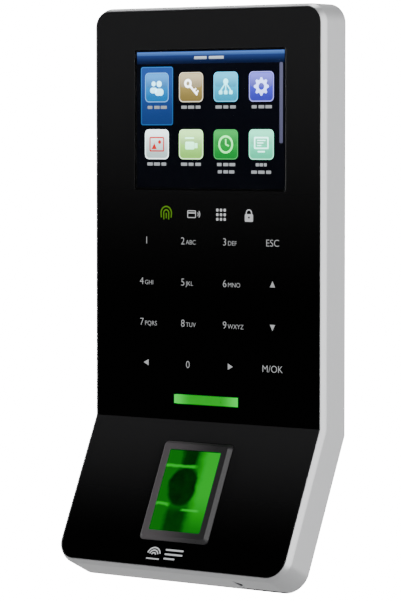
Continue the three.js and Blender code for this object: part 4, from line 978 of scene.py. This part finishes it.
@dataclass
class Casing:
    """The silver ring and the gloss black panel in it."""

    form: FoldedForm
    lip: float = 0.9 * MM
    lip_round: float = 0.12 * MM
    chamfer_width: float = 0.7 * MM
    chamfer_depth: float = 1.7 * MM
    chamfer_round: float = 0.1 * MM
    edge_round: float = 0.25 * MM
    back_bevel: float = 0.7 * MM
    wall: float = 2.0 * MM
    seat_depth: float = 2.1 * MM
    ledge_inset: float = 3.2 * MM
    ledge_back: float = 3.2 * MM
    port_front: float = 3.6 * MM
    port_back: float = 10.7 * MM
    cover_front: float = 10.6 * MM
    cover_half: float = 31.1 * MM
    cut_past: float = 1.0 * MM
    cut_into: float = 3.0 * MM
    gap: float = 0.1 * MM
    panel_thickness: float = 1.6 * MM
    panel_edge: float = 0.18 * MM
    panel_rounding: tuple[Flat, ...] = ((1.0, 0.0), (0.35, 0.12), (0.08, 0.5), (0.0, 1.0))
    panel_smooth: float = 50.0
    window_radius: float = 0.6 * MM
    guide_flange: float = 1.0 * MM
    bezel_width: float = 23.1 * MM
    bezel_height: float = 28.8 * MM
    bezel_below: float = 6.2 * MM
    bezel_radius: float = 1.1 * MM

    def ring(self) -> Object:
        """Sweeps the ring's rounded section round the folded outline, and cuts the openings in its bottom.

        Returns:
            The ring.
        """
        form = self.form
        section = rounded(
            [
                (self.lip, 0.0, self.lip_round),
                (self.chamfer_width, 0.0, self.chamfer_round),
                (0.0, self.chamfer_depth, 2 * self.edge_round),
                (0.0, form.depth - self.back_bevel, self.edge_round),
                (self.back_bevel, form.depth, self.edge_round),
                (self.wall, form.depth, 0.0),
                (self.wall, self.ledge_back, 0.0),
                (self.ledge_inset, self.ledge_back, 0.0),
                (self.ledge_inset, self.seat_depth, 0.0),
                (self.lip, self.seat_depth, 0.0),
            ]
        )
        rings = [[form.place(x, u, depth) for x, u in form.outline(inset)] for inset, depth in section]
        count = len(rings[0])
        faces: list[Sequence[int]] = []
        for number in range(len(rings)):
            faces += band(number * count, (number + 1) % len(rings) * count, count)
        piece = mesh_object("ring", [point for ring in rings for point in ring], faces)
        port_low, port_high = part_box("usb_cover")
        port = (port_low[0] - self.gap, port_high[0] + self.gap, self.port_front, self.port_back)
        cover = (-self.cover_half, self.cover_half, self.cover_front, form.depth + self.cut_past)
        carved(piece, [self._cutter("port_cut", *port), self._cutter("edge_cut", *cover)])
        smooth(piece)
        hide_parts("frame")
        return keep(piece, SatinSilver("silver_ring"))

    def _cutter(self, name: str, left: float, right: float, front: float, back: float) -> Object:
        """A block through the bottom wall, from left to right and from one depth to another."""
        end = -self.form.bottom
        return block(name, self.form, (left, end - self.cut_past, front), (right, end + self.cut_into, back))

    def panel(self) -> Object:
        """Makes the bent front panel, with its rounded edges and three openings.

        Returns:
            The panel.
        """
        upper: list[Opening] = []
        nodes = (("display_window", 0.0, self.window_radius), ("indicator_light_guide", self.guide_flange, 0.0))
        for node, flange, radius in nodes:
            (x0, _, z0), (x1, _, z1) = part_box(node)
            room = 2 * (self.gap - flange)
            middle = (z0 + z1) / 2 - self.form.fold_z
            upper.append(Opening((x0 + x1) / 2, middle, x1 - x0 + room, z1 - z0 + room, radius))
        width, height = self.bezel_width + 2 * self.gap, self.bezel_height + 2 * self.gap
        sensor = Opening(0.0, -(self.bezel_below + self.bezel_height / 2), width, height, self.bezel_radius)
        levels = [(back * self.panel_edge, depth * self.panel_edge) for back, depth in self.panel_rounding]
        levels.append((0.0, self.panel_thickness))
        vertices: list[Vector] = []
        faces: list[Sequence[int]] = []
        for side, openings in ((1, upper), (-1, [sensor])):
            self._half(vertices, faces, side, levels, openings)
        piece = mesh_object("front_panel", vertices, faces)
        smooth(piece, self.panel_smooth)
        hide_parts("front_lens")
        return keep(piece, PolishedPanel("black_panel", self.form))

    def _half(
        self,
        vertices: list[Vector],
        faces: list[Sequence[int]],
        side: int,
        levels: Sequence[Flat],
        openings: Sequence[Opening],
    ) -> None:
        """Adds one half of the panel: its faces, its rim and the rims of its openings.

        Args:
            vertices: The panel's points so far.
            faces: The panel's faces so far.
            side: 1 for the upper half and -1 for the lower.
            levels: Pairs of how far the rims are cut back, and at what depth.
            openings: The half's openings.
        """
        rims: list[tuple[list[Loop], int]] = []
        for back, depth in levels:
            outline = self.form.outline(self.lip + self.gap + back)
            outer = [point for point in outline if side * point[1] >= 0]
            if side < 0:
                outer = outer[1:] + outer[:1]
            loops = [outer] + [opening.grown(back) for opening in openings]
            rims.append((loops, len(vertices)))
            vertices += [self.form.place(x, u, depth) for loop in loops for x, u in loop]
        for loops, first in (rims[0], rims[-1]):
            faces += [(first + a, first + b, first + c) for a, b, c in fill(loops)]
        for (loops, here), (_, there) in zip(rims, rims[1:]):
            start = 0
            for loop in loops:
                faces += band(here + start, there + start, len(loop), closed=start > 0)
                start += len(loop)


# ------------------------------ signs


class Sign(Enum):
    """The small signs: shapes in a box from about -1 to 1, each an edge and the holes in it."""

    FINGERTIP = [[stroke((0.0, 0.1), (0.0, -0.6), 0.18)]] + [
        [loop]
        for radius, drop in ((0.42, 0.75), (0.86, 0.5))
        for loop in (
            arc(0.0, 0.1, radius, 0.18, 0, 180),
            stroke((-radius, 0.11), (-radius * 0.94, -drop), 0.18),
            stroke((radius, 0.11), (radius * 0.94, -drop), 0.18),
        )
    ]
    CARD = [
        [rectangle(-0.3, 0.0, 1.4, 1.0, 0.16), rectangle(-0.3, 0.0, 1.18, 0.78, 0.08)[::-1]],
        [rectangle(-0.3, 0.16, 1.18, 0.14)],
        [arc(0.42, 0.0, 0.36, 0.1, -42, 42)],
        [arc(0.42, 0.0, 0.62, 0.1, -42, 42)],
    ]
    KEYS = [[rectangle(x * 0.6, u * 0.6, 0.36, 0.36, 0.08, 3)] for x in (-1, 0, 1) for u in (-1, 0, 1)]
    LOCK = [
        [rectangle(0.0, -0.35, 1.3, 1.0, 0.14), disc(0.0, -0.3, 0.14)[::-1]],
        [arc(0.0, 0.28, 0.42, 0.14, 0, 180)],
        [rectangle(-0.42, 0.2, 0.14, 0.18)],
        [rectangle(0.42, 0.2, 0.14, 0.18)],
    ]
    TOUCH = (
        [[arc(-1.9, -0.3, radius, 0.16, 15, 165)] for radius in (0.3, 0.62, 0.94)]
        + [[rectangle(-1.9, -0.75, 1.9, 0.16, 0.06)]]
        + [[rectangle(-0.3 + w / 2, 0.5 - 0.55 * row, w, 0.2, 0.08)] for row, w in enumerate((2.6, 2.6, 1.6))]
    )
    PEOPLE = [
        [loop]
        for x, u, size in ((-0.32, 0.02, 0.8), (0.24, -0.06, 1.0))
        for loop in (
            disc(x, u + 0.34 * size, 0.25 * size),
            rectangle(x, u - 0.32 * size, 0.86 * size, 0.56 * size, 0.26 * size),
        )
    ]
    KEY = [
        [disc(-0.3, 0.3, 0.36), disc(-0.3, 0.3, 0.17)[::-1]],
        [stroke((-0.08, 0.08), (0.62, -0.62), 0.17)],
        [stroke((0.3, -0.3), (0.5, -0.1), 0.14)],
        [stroke((0.5, -0.5), (0.72, -0.28), 0.14)],
    ]
    LINK = [[disc(0.0, 0.42, 0.24)]] + [
        [loop]
        for x in (-0.5, 0.0, 0.5)
        for loop in (stroke((x * 0.2, 0.2), (x, -0.3), 0.1), rectangle(x, -0.44, 0.34, 0.3, 0.06, 2))
    ]
    GEAR = [[gear(0.72), disc(0.0, 0.0, 0.28)[::-1]]]
    PICTURE = [
        [rectangle(0.0, 0.0, 1.5, 1.2, 0.12), rectangle(0.0, 0.0, 1.26, 0.96, 0.05)[::-1]],
        [[(-0.55, -0.4), (0.0, -0.4), (-0.25, 0.1)]],
        [disc(0.28, 0.18, 0.16)],
    ]
    STORE = [
        [rectangle(-0.12, -0.1, 0.9, 0.62, 0.12)],
        [rectangle(0.5, -0.1, 0.28, 0.4)],
        [stroke((-0.6, 0.5), (0.3, 0.5), 0.12)],
    ]
    CLOCK = [
        [disc(0.0, 0.0, 0.72), disc(0.0, 0.0, 0.56)[::-1]],
        [stroke((0.0, 0.0), (0.0, 0.42), 0.11)],
        [stroke((0.0, 0.0), (0.3, -0.12), 0.11)],
    ]
    PANEL = [
        [rectangle(0.0, 0.12, 1.4, 0.96, 0.1), rectangle(0.0, 0.12, 1.16, 0.72, 0.05)[::-1]],
        *([rectangle(-0.1 * row, 0.32 - 0.2 * row, 0.8 - 0.2 * row, 0.08)] for row in range(3)),
        [rectangle(0.0, -0.56, 0.7, 0.12, 0.05)],
    ]

    @property
    def label(self) -> str:
        """The sign's name as pieces carry it."""
        return self.name.lower()

    def at(self, x: float, u: float, size: float) -> Stencil:
        """The sign about a place, size long from its middle to its side."""
        return Stencil(self.value).moved(x, u, size)


# ------------------------------ legends


class Arrow(Enum):
    """Keys that carry an arrow: the angle that it points to."""

    UP = 90
    DOWN = -90
    LEFT = 180
    RIGHT = 0


class Align(Enum):
    """Which end of a legend stands at its place."""

    CENTER = "CENTER"
    LEFT = "LEFT"
    RIGHT = "RIGHT"


@dataclass
class Legends:
    """The lit key legends and the small pictograms on the panel."""

    form: FoldedForm
    pitch_x: float = 14.3 * MM
    pitch_u: float = 11.4 * MM
    offset: float = 1.1 * MM
    first_row: float = 15.6 * MM
    digit: float = 2.9 * MM
    word: float = 0.95
    letter: float = 1.8 * MM
    split: float = 1.0 * MM
    letter_gap: float = 0.3 * MM
    letter_drop: float = 0.35 * MM
    thinning: float = 0.012
    middle: float = 0.35
    arrow_reach: float = 1.05 * MM
    arrow_spread: float = 2.2
    mark_row: float = 57.2 * MM
    mark_pitch: float = 9.4 * MM
    mark_offset: float = 0.6 * MM
    mark_size: float = 2.1 * MM
    touch: tuple[float, float, float] = (-0.9 * MM, -38.6 * MM, 2.3 * MM)
    proud: float = 0.02 * MM
    ink: Colour = (0.50, 0.51, 0.52)
    green: Colour = (0.10, 0.26, 0.01)
    rows: tuple[tuple[tuple[str, str] | Arrow, ...], ...] = (
        (("1", ""), ("2", "ABC"), ("3", "DEF"), ("ESC", "")),
        (("4", "GHI"), ("5", "JKL"), ("6", "MNO"), Arrow.UP),
        (("7", "PQRS"), ("8", "TUV"), ("9", "WXYZ"), Arrow.DOWN),
        (Arrow.LEFT, ("0", ""), Arrow.RIGHT, ("M/OK", "")),
    )

    def write(self, name: str, text: str, size: float, x: float, u: float, align: Align) -> Object:
        """Makes a legend as thin raised type.

        Args:
            name: The piece's name.
            text: What it says.
            size: The type's size.
            x: Where it stands, across.
            u: The height of its middle above the fold.
            align: Which of its ends stands there.

        Returns:
            The legend's mesh object.
        """
        curve = bpy.data.curves.new(name, "FONT")
        curve.body = text
        curve.size = size
        curve.align_x = align.value
        curve.offset = -self.thinning * size
        curve.extrude = self.proud / 2
        curve.resolution_u = 4
        draft = linked(name, curve)
        mesh = baked(draft)
        bpy.data.objects.remove(draft)
        base = u - self.middle * size
        for vertex in mesh.vertices:
            local = vertex.co.copy()
            vertex.co = self.form.place(x + local.x, base + local.y, -local.z - self.proud / 2)
        return linked(name, mesh)

    def legend(self, name: str, key: tuple[str, str] | Arrow, x: float, u: float) -> list[Object]:
        """Makes what one key carries.

        Args:
            name: The legend's name.
            key: Its text and the letters beside it, or its arrow.
            x: The key's middle, across.
            u: The key's middle, up.

        Returns:
            One object, or one for the digit and one for its letters.
        """
        if isinstance(key, Arrow):
            turn, spread = math.radians(key.value), self.arrow_spread
            angles = (turn, turn + spread, turn - spread)
            loop = [(x + self.arrow_reach * math.cos(a), u + self.arrow_reach * math.sin(a)) for a in angles]
            return [Stencil([[loop]]).cut(name, self.form, -self.proud, self.proud)]
        text, letters = key
        if not letters:
            size = self.digit if len(text) == 1 else self.digit * self.word
            return [self.write(name, text, size, x, u, Align.CENTER)]
        split = x - self.split
        digit = self.write(name, text, self.digit, split, u, Align.RIGHT)
        place = (split + self.letter_gap, u - self.letter_drop)
        return [digit, self.write(f"{name}_letters", letters, self.letter, *place, Align.LEFT)]

    def build(self) -> None:
        """Makes every key legend and pictogram."""
        finish = Lit("legend_ink", self.ink, 0.95, 0.12)
        for row, keys in enumerate(self.rows):
            u = self.first_row + (len(self.rows) - 1 - row) * self.pitch_u
            for column, key in enumerate(keys):
                x = self.offset + (column - 1.5) * self.pitch_x
                for piece in self.legend(f"legend_{row + 1}_{column + 1}", key, x, u):
                    keep(piece, finish)
        self._pictograms()

    def _pictograms(self) -> None:
        """A fingertip, a card, a keypad and a lock above the keys, and a fingertip under the finger window."""
        green = Lit("pictogram_green", self.green, 1.0, 0.1)
        white = Lit("pictogram_white", self.ink, 1.3, 0.1)
        row = (Sign.FINGERTIP, Sign.CARD, Sign.KEYS, Sign.LOCK)
        places = {
            sign: ((number - 1.5) * self.mark_pitch + self.mark_offset, self.mark_row, self.mark_size)
            for number, sign in enumerate(row)
        }
        places[Sign.TOUCH] = self.touch
        for sign, place in places.items():
            piece = sign.at(*place).cut(f"pictogram_{sign.label}", self.form, -self.proud, self.proud)
            keep(piece, green if sign is Sign.FINGERTIP else white)


# ------------------------------ display


@dataclass(frozen=True)
class Tile:
    """One menu picture on the display: its ground, its sign, the widths of its words in mm and its gloss."""

    sign: Sign
    colour: Colour
    ink: Colour = (4.0, 4.2, 4.4)
    words: tuple[float, ...] = (7.2,)
    white: float = 1.0


@dataclass
class Display:
    """The menu picture behind the clear window: a title bar, eight tiles and a scroll bar."""

    form: FoldedForm
    margin: float = 0.5 * MM
    layer: float = 0.02 * MM
    window: float = 0.35 * MM
    corner: float = 0.6 * MM
    tile: float = 8.2 * MM
    tile_corner: float = 1.3 * MM
    tile_rim: float = 0.5 * MM
    rim_corner: float = 1.1 * MM
    gloss_inset: float = 0.9 * MM
    word_height: float = 0.85 * MM
    word_corner: float = 0.12 * MM
    word_drop: float = 1.4 * MM
    word_pitch: float = 2.0 * MM
    title_bar: Flat = (0.955, 0.09)
    title_line: Flat = (0.985, 0.026)
    title_words: tuple[Flat, ...] = ((0.395, 0.085), (0.495, 0.1))
    title_height: float = 0.8 * MM
    title_corner: float = 0.15 * MM
    box_up: float = 0.675
    box_share: Flat = (0.222, 0.43)
    box_corner: float = 0.7 * MM
    box_line: float = 0.5 * MM
    scroll_place: Flat = (0.978, 0.62)
    scroll_share: Flat = (0.022, 0.58)
    scroll_corner: float = 0.3 * MM
    columns: tuple[float, ...] = (0.138, 0.374, 0.61, 0.848)
    rows: tuple[float, ...] = (0.738, 0.32)
    tiles: tuple[Tile, ...] = (
        Tile(Sign.PEOPLE, (0.001, 0.42, 1.2), (1.5, 3.6, 4.4), white=0.3),
        Tile(Sign.KEY, (0.62, 0.45, 0.13)),
        Tile(Sign.LINK, (0.001, 0.95, 1.55), (1.0, 3.8, 4.2), white=0.25),
        Tile(Sign.GEAR, (0.11, 0.11, 1.2), (1.8, 2.2, 4.4), white=0.6),
        Tile(Sign.PICTURE, (1.3, 1.7, 1.7), (1.2, 0.03, 0.03), white=2.0),
        Tile(Sign.STORE, (0.7, 1.7, 0.3), (1.6, 4.2, 2.4), white=1.1),
        Tile(Sign.CLOCK, (0.001, 0.62, 0.08), (0.6, 3.2, 0.8), (6.6, 6.0), 0.1),
        Tile(Sign.PANEL, (0.1, 1.8, 1.0), (2.0, 4.4, 3.8), (4.0, 7.2), 0.6),
    )

    def __post_init__(self) -> None:
        """Takes the picture's place from the window and the panel behind it."""
        low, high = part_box("display_window")
        self.left, self.low = low[0] + self.margin, low[2] + self.margin - self.form.fold_z
        self.width = high[0] - self.margin - self.left
        self.height = high[2] - self.margin - self.form.fold_z - self.low
        self.surface = self.window + 8 * self.layer

    def at(self, across: float, up: float) -> Flat:
        """A place on the picture from its shares of the width and height."""
        return (self.left + across * self.width, self.low + up * self.height)

    def show(
        self,
        name: str,
        shapes: list[list[Loop]],
        level: int,
        colour: Colour,
        strength: float = 1.0,
        fall: float = 0.4,
    ) -> None:
        """Puts lit shapes on a layer of the display, counted from the back; they dim towards their bottom."""
        piece = Stencil(shapes).cut(name, self.form, self.surface - (level + 1) * self.layer, self.layer)
        keep(piece, Lit(name, colour, strength, fall))

    def build(self) -> None:
        """Makes the whole picture."""
        width, height = self.width, self.height
        middle = self.at(0.5, 0.5)
        outline = Stencil([[rectangle(*middle, width + 2 * self.margin, height + 2 * self.margin, self.corner)]])
        glass = outline.cut("clear_glass", self.form, 0.0, self.window)
        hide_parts("display_window")
        keep(glass, ClearWindow("clear_glass"))
        mask = outline.cut("picture_mask", self.form, self.surface, 2 * self.layer)
        keep(mask, Moulded("mask_black", (0.002, 0.002, 0.002), 0.3, 400.0, 0.001 * MM))
        self.show("picture_ground", [[rectangle(*middle, width, height)]], 0, (0.003, 0.0035, 0.007))
        bar = rectangle(*self.at(0.5, self.title_bar[0]), width, self.title_bar[1] * height)
        self.show("title_bar", [[bar]], 1, (0.03, 0.06, 0.24), 1.0, 0.9)
        line = rectangle(*self.at(0.5, self.title_line[0]), width, self.title_line[1] * height)
        self.show("title_line", [[line]], 2, (0.10, 0.25, 0.75))
        words: list[list[Loop]] = []
        for start, length in self.title_words:
            place = self.at(start + length / 2, 0.952)
            words.append([rectangle(*place, length * width, self.title_height, self.title_corner, 2)])
        self.show("title_words", words, 2, (0.9, 1.0, 1.1))
        self._selection()
        for number, tile in enumerate(self.tiles):
            self._tile(number, tile)
        wide, tall = self.scroll_share[0] * width, self.scroll_share[1] * height
        track = rectangle(*self.at(*self.scroll_place), wide, tall, self.scroll_corner, 3)
        self.show("scroll_bar", [[track]], 1, (0.15, 0.15, 0.26), 1.0, 0.2)

    def _selection(self) -> None:
        """The framed box round the first tile."""
        x, u = self.at(self.columns[0], self.box_up)
        wide, tall = self.box_share[0] * self.width, self.box_share[1] * self.height
        plate = rectangle(x, u, wide, tall, self.box_corner)
        self.show("selection_plate", [[plate]], 1, (0.03, 0.10, 0.42), 1.0, 0.5)
        inner = rectangle(x, u, wide - self.box_line, tall - self.box_line, self.box_line)
        self.show("selection_frame", [[plate, inner[::-1]]], 2, (0.03, 0.26, 0.80))

    def _tile(self, number: int, tile: Tile) -> None:
        """One tile: its rounded ground, the gloss on its upper half, its sign and the bars of its words.

        Args:
            number: Its place, from the top left.
            tile: What it shows.
        """
        x, u = self.at(self.columns[number % 4], self.rows[number // 4])
        size, name = self.tile, f"tile_{tile.sign.label}"
        ground = rectangle(x, u, size, size, self.tile_corner)
        self.show(name, [[ground]], 3, tile.colour, 1.1, 0.55)
        rim = rectangle(x, u, size - self.tile_rim, size - self.tile_rim, self.rim_corner)
        self.show(f"{name}_edge", [[ground, rim[::-1]]], 4, pale(tile.colour, 0.9 * tile.white), 1.1, 0.1)
        gloss = rectangle(x, u + 0.22 * size, size - self.gloss_inset, 0.46 * size, self.gloss_inset)
        self.show(f"{name}_gloss", [[gloss]], 4, pale(tile.colour, 0.35 * tile.white), 1.1, 0.45)
        self.show(f"{name}_sign", tile.sign.at(x, u, 0.42 * size).shapes, 5, tile.ink, 1.0, 0.2)
        words: list[list[Loop]] = []
        for row, length in enumerate(tile.words):
            base = u - size / 2 - self.word_drop - row * self.word_pitch
            step, start = length / 3 * MM, x - length / 2 * MM
            for part in range(3):
                wide = step * (0.68 + 0.1 * ((part + number) % 3))
                middle = start + step * (part + 0.5)
                words.append([rectangle(middle, base, wide, self.word_height, self.word_corner, 2)])
        self.show(f"{name}_words", words, 3, (0.5, 0.52, 0.55), 1.0, 0.1)


# ------------------------------ carried-over parts


@dataclass
class Parts:
    """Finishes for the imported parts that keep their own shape."""

    form: FoldedForm
    guide_half: float = 10.85 * MM
    bezel_half: float = 11.5 * MM
    sensor_half: float = 8.75 * MM
    sensor_height: float = 23.6 * MM
    sensor_top: float = 8.8 * MM
    weld_gap: float = 0.002 * MM
    flat_angle: float = math.radians(0.5)
    edge_angle: float = math.radians(40)
    rounded_nodes: tuple[tuple[str, float], ...] = (
        ("sensor_bezel", 0.16 * MM),
        ("usb_cover", 0.12 * MM),
        ("wall_plate", 0.15 * MM),
    )

    def softened(self, node: str, width: float, segments: int = 2) -> None:
        """Rounds a part's sharp edges.

        Args:
            node: The part.
            width: How far the rounding reaches from the edge.
            segments: Facets across it.
        """
        part = frame["nodes"][node]
        weld = part.modifiers.new("weld", "WELD")
        weld.merge_threshold = self.weld_gap
        planes = part.modifiers.new("planes", "DECIMATE")
        planes.decimate_type = "DISSOLVE"
        planes.angle_limit = self.flat_angle
        edges = part.modifiers.new("edges", "BEVEL")
        edges.width = width
        edges.segments = segments
        edges.limit_method = "ANGLE"
        edges.angle_limit = self.edge_angle
        edges.harden_normals = True

    def dress(self, node: str, material: Material) -> None:
        """Gives a part its material.

        Args:
            node: The part.
            material: The material.
        """
        part = frame["nodes"][node]
        part.data.materials.clear()
        part.data.materials.append(material)
        log.info("%s: dressed in %s", node, material.name)

    def finishes(self) -> dict[str, Finish]:
        """Chooses the finishes.

        Returns:
            The finish of each material slot of the record.
        """
        return {
            "silver_frame": SatinSilver("silver_lacquer"),
            "silver_paint": SatinSilver("silver_cover_lacquer"),
            "black_gloss": Moulded("black_gloss_plastic", (0.004, 0.004, 0.004), 0.15),
            "clear_window": ClearWindow("clear_window"),
            "light_guide": LightBar("light_guide", self.guide_half),
            "grey_plastic": SideLitGrey("grey_bezel", self.bezel_half),
            "sensor_glass": FingerGlow(
                "finger_window", self.form, self.sensor_top, self.sensor_half, self.sensor_height
            ),
            "lcd_glass": Moulded("display_glass", (0.004, 0.004, 0.006), 0.12, 400.0, 0.001 * MM),
            "black_cover": Moulded("cover_black", (0.016, 0.016, 0.017), 0.56, 1700.0, 0.05 * MM),
            "component_black": Moulded("component_black", (0.014, 0.014, 0.015), 0.5),
            "white_plastic": Moulded("natural_white", (0.70, 0.67, 0.60), 0.42, 1500.0, 0.01 * MM, 0.05),
            "circuit_board": Laminate("board"),
            "flex_cable": Film("flex_film"),
            "copper": Sheet("copper_wire", (0.65, 0.27, 0.12), 0.34, 900.0, (200.0, 4000.0, 200.0)),
            "bright_steel": Sheet("nickel_steel", (0.52, 0.52, 0.53), 0.34, 1500.0, (3000.0, 300.0, 3000.0)),
            "black_screw": Sheet("black_zinc", (0.035, 0.035, 0.038), 0.42, 1600.0, (4000.0, 300.0, 400.0)),
            "zinc_plate": Sheet("zinc_sheet", (0.52, 0.535, 0.55), 0.42),
            "soft_rubber": Moulded("rubber", (0.012, 0.012, 0.012), 0.75, 1500.0, 0.02 * MM),
            "seal_foam": Moulded("foam", (0.02, 0.02, 0.02), 0.9, 900.0, 0.15 * MM),
            "red_wire": Moulded("red_insulation", (0.42, 0.012, 0.01), 0.4, 900.0, 0.01 * MM),
            "black_wire": Moulded("black_insulation", (0.012, 0.012, 0.012), 0.4, 900.0, 0.01 * MM),
        }

    def build(self) -> None:
        """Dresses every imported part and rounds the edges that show."""
        made = {slot: finish.material() for slot, finish in self.finishes().items()}
        for part in frame["record"]["subparts"]:
            self.dress(part["node"], made[part["material_slot"]])
        for node, width in self.rounded_nodes:
            self.softened(node, width)


# ------------------------------ stage


@dataclass
class Stage:
    """The camera, the pale floor and the soft lights."""

    form: FoldedForm
    azimuth: float = math.radians(36.48)
    elevation: float = math.radians(3.10)
    distance: float = 0.8519
    target: Vector = field(default_factory=lambda: Vector((-0.00169, 0.0, 0.03346)))
    lens: float = 185.2
    sensor: float = 36.0
    nearest: float = 0.01
    dimmest: float = 0.03
    glow: tuple[tuple[Colour, float, float, float], ...] = (
        ((-0.594, 0.803, -0.054), 0.984, 0.991, 17.0),
        ((1.0, 0.0, 0.0), 0.4, 1.0, 3.0),
        ((0.0, 1.0, 0.0), 0.1, 0.6, 0.4),
    )
    floor_drop: float = 0.3
    floor_radius: float = 1.1
    aim: Colour = (0.0, 0.0, -0.03)
    lamps: tuple[tuple[str, Colour, Flat, float], ...] = (
        ("key", (1.1, -0.75, 0.6), (0.5, 0.5), 3.0),
        ("left", (-1.1, -0.2, 0.05), (0.3, 0.5), 5.0),
        ("top", (-0.3, 0.4, 0.9), (0.6, 0.4), 5.0),
        ("low", (-0.45, 0.42, -0.26), (0.5, 0.3), 0.3),
    )

    def camera(self) -> None:
        """Sets the camera at the fitted angle and distance."""
        data = bpy.data.cameras.new("camera")
        data.sensor_width = self.sensor
        data.lens = self.lens
        data.clip_start = self.nearest
        camera = linked("camera", data)
        flat = math.cos(self.elevation)
        back = Vector((math.sin(self.azimuth) * flat, -math.cos(self.azimuth) * flat, math.sin(self.elevation)))
        target = self.target + Vector((0.0, self.form.front_y, self.form.fold_z))
        camera.location = target + back * self.distance
        camera.rotation_euler = (-back).to_track_quat("-Z", "Y").to_euler()
        bpy.context.scene.camera = camera

    def floor(self) -> None:
        """A round pale floor below the terminal."""
        centre = Vector((0.0, 0.0, self.form.fold_z - self.floor_drop))
        ring = [centre + Vector((x, y, 0.0)) for x, y in disc(0.0, 0.0, self.floor_radius, 96)]
        floor = mesh_object("floor", ring, [range(len(ring))])
        paper = Moulded("floor_paper", (0.62, 0.62, 0.62), 0.9, 300.0, 0.05 * MM, 0.01)
        floor.data.materials.append(paper.material())

    def light(self, name: str, at: Colour, size: Flat, watts: float) -> None:
        """A soft rectangular light that faces the terminal.

        Args:
            name: The light's name.
            at: Its place.
            size: Its width and height.
            watts: Its power.
        """
        data = bpy.data.lights.new(name, "AREA")
        data.shape = "RECTANGLE"
        data.size, data.size_y = size
        data.energy = watts
        light = linked(name, data)
        light.location = at
        light.rotation_euler = (Vector(self.aim) - Vector(at)).to_track_quat("-Z", "Y").to_euler()

    def world(self) -> None:
        """A white wall where the camera looks, a glow on the right and behind, and a dim room elsewhere."""
        world = bpy.data.worlds.new("studio")
        world.use_nodes = True
        bpy.context.scene.world = world
        graph = Graph(world.node_tree)
        total: Value | float = self.dimmest
        for way, start, end, strength in self.glow:
            total = graph.dot(graph.share(), Vector(way).normalized()).ramp(start, end, strength) + total
        background = graph.tree.nodes["Background"]
        graph.feed(background.inputs["Strength"], total)
        graph.feed(background.inputs["Color"], (1.0, 1.0, 1.0, 1.0))

    def build(self) -> None:
        """Makes the whole stage."""
        self.camera()
        self.floor()
        self.world()
        for lamp in self.lamps:
            self.light(*lamp)


def main() -> None:
    logging.basicConfig(level=logging.INFO, format="%(name)s %(message)s")
    form = FoldedForm.from_frame(UPPER_HEIGHT, SLOPE_LENGTH, CASING_DEPTH)
    Stage(form).build()
    Parts(form).build()
    casing = Casing(form)
    casing.ring()
    casing.panel()
    Legends(form).build()
    Display(form).build()


if __name__ == "__main__":
    main()
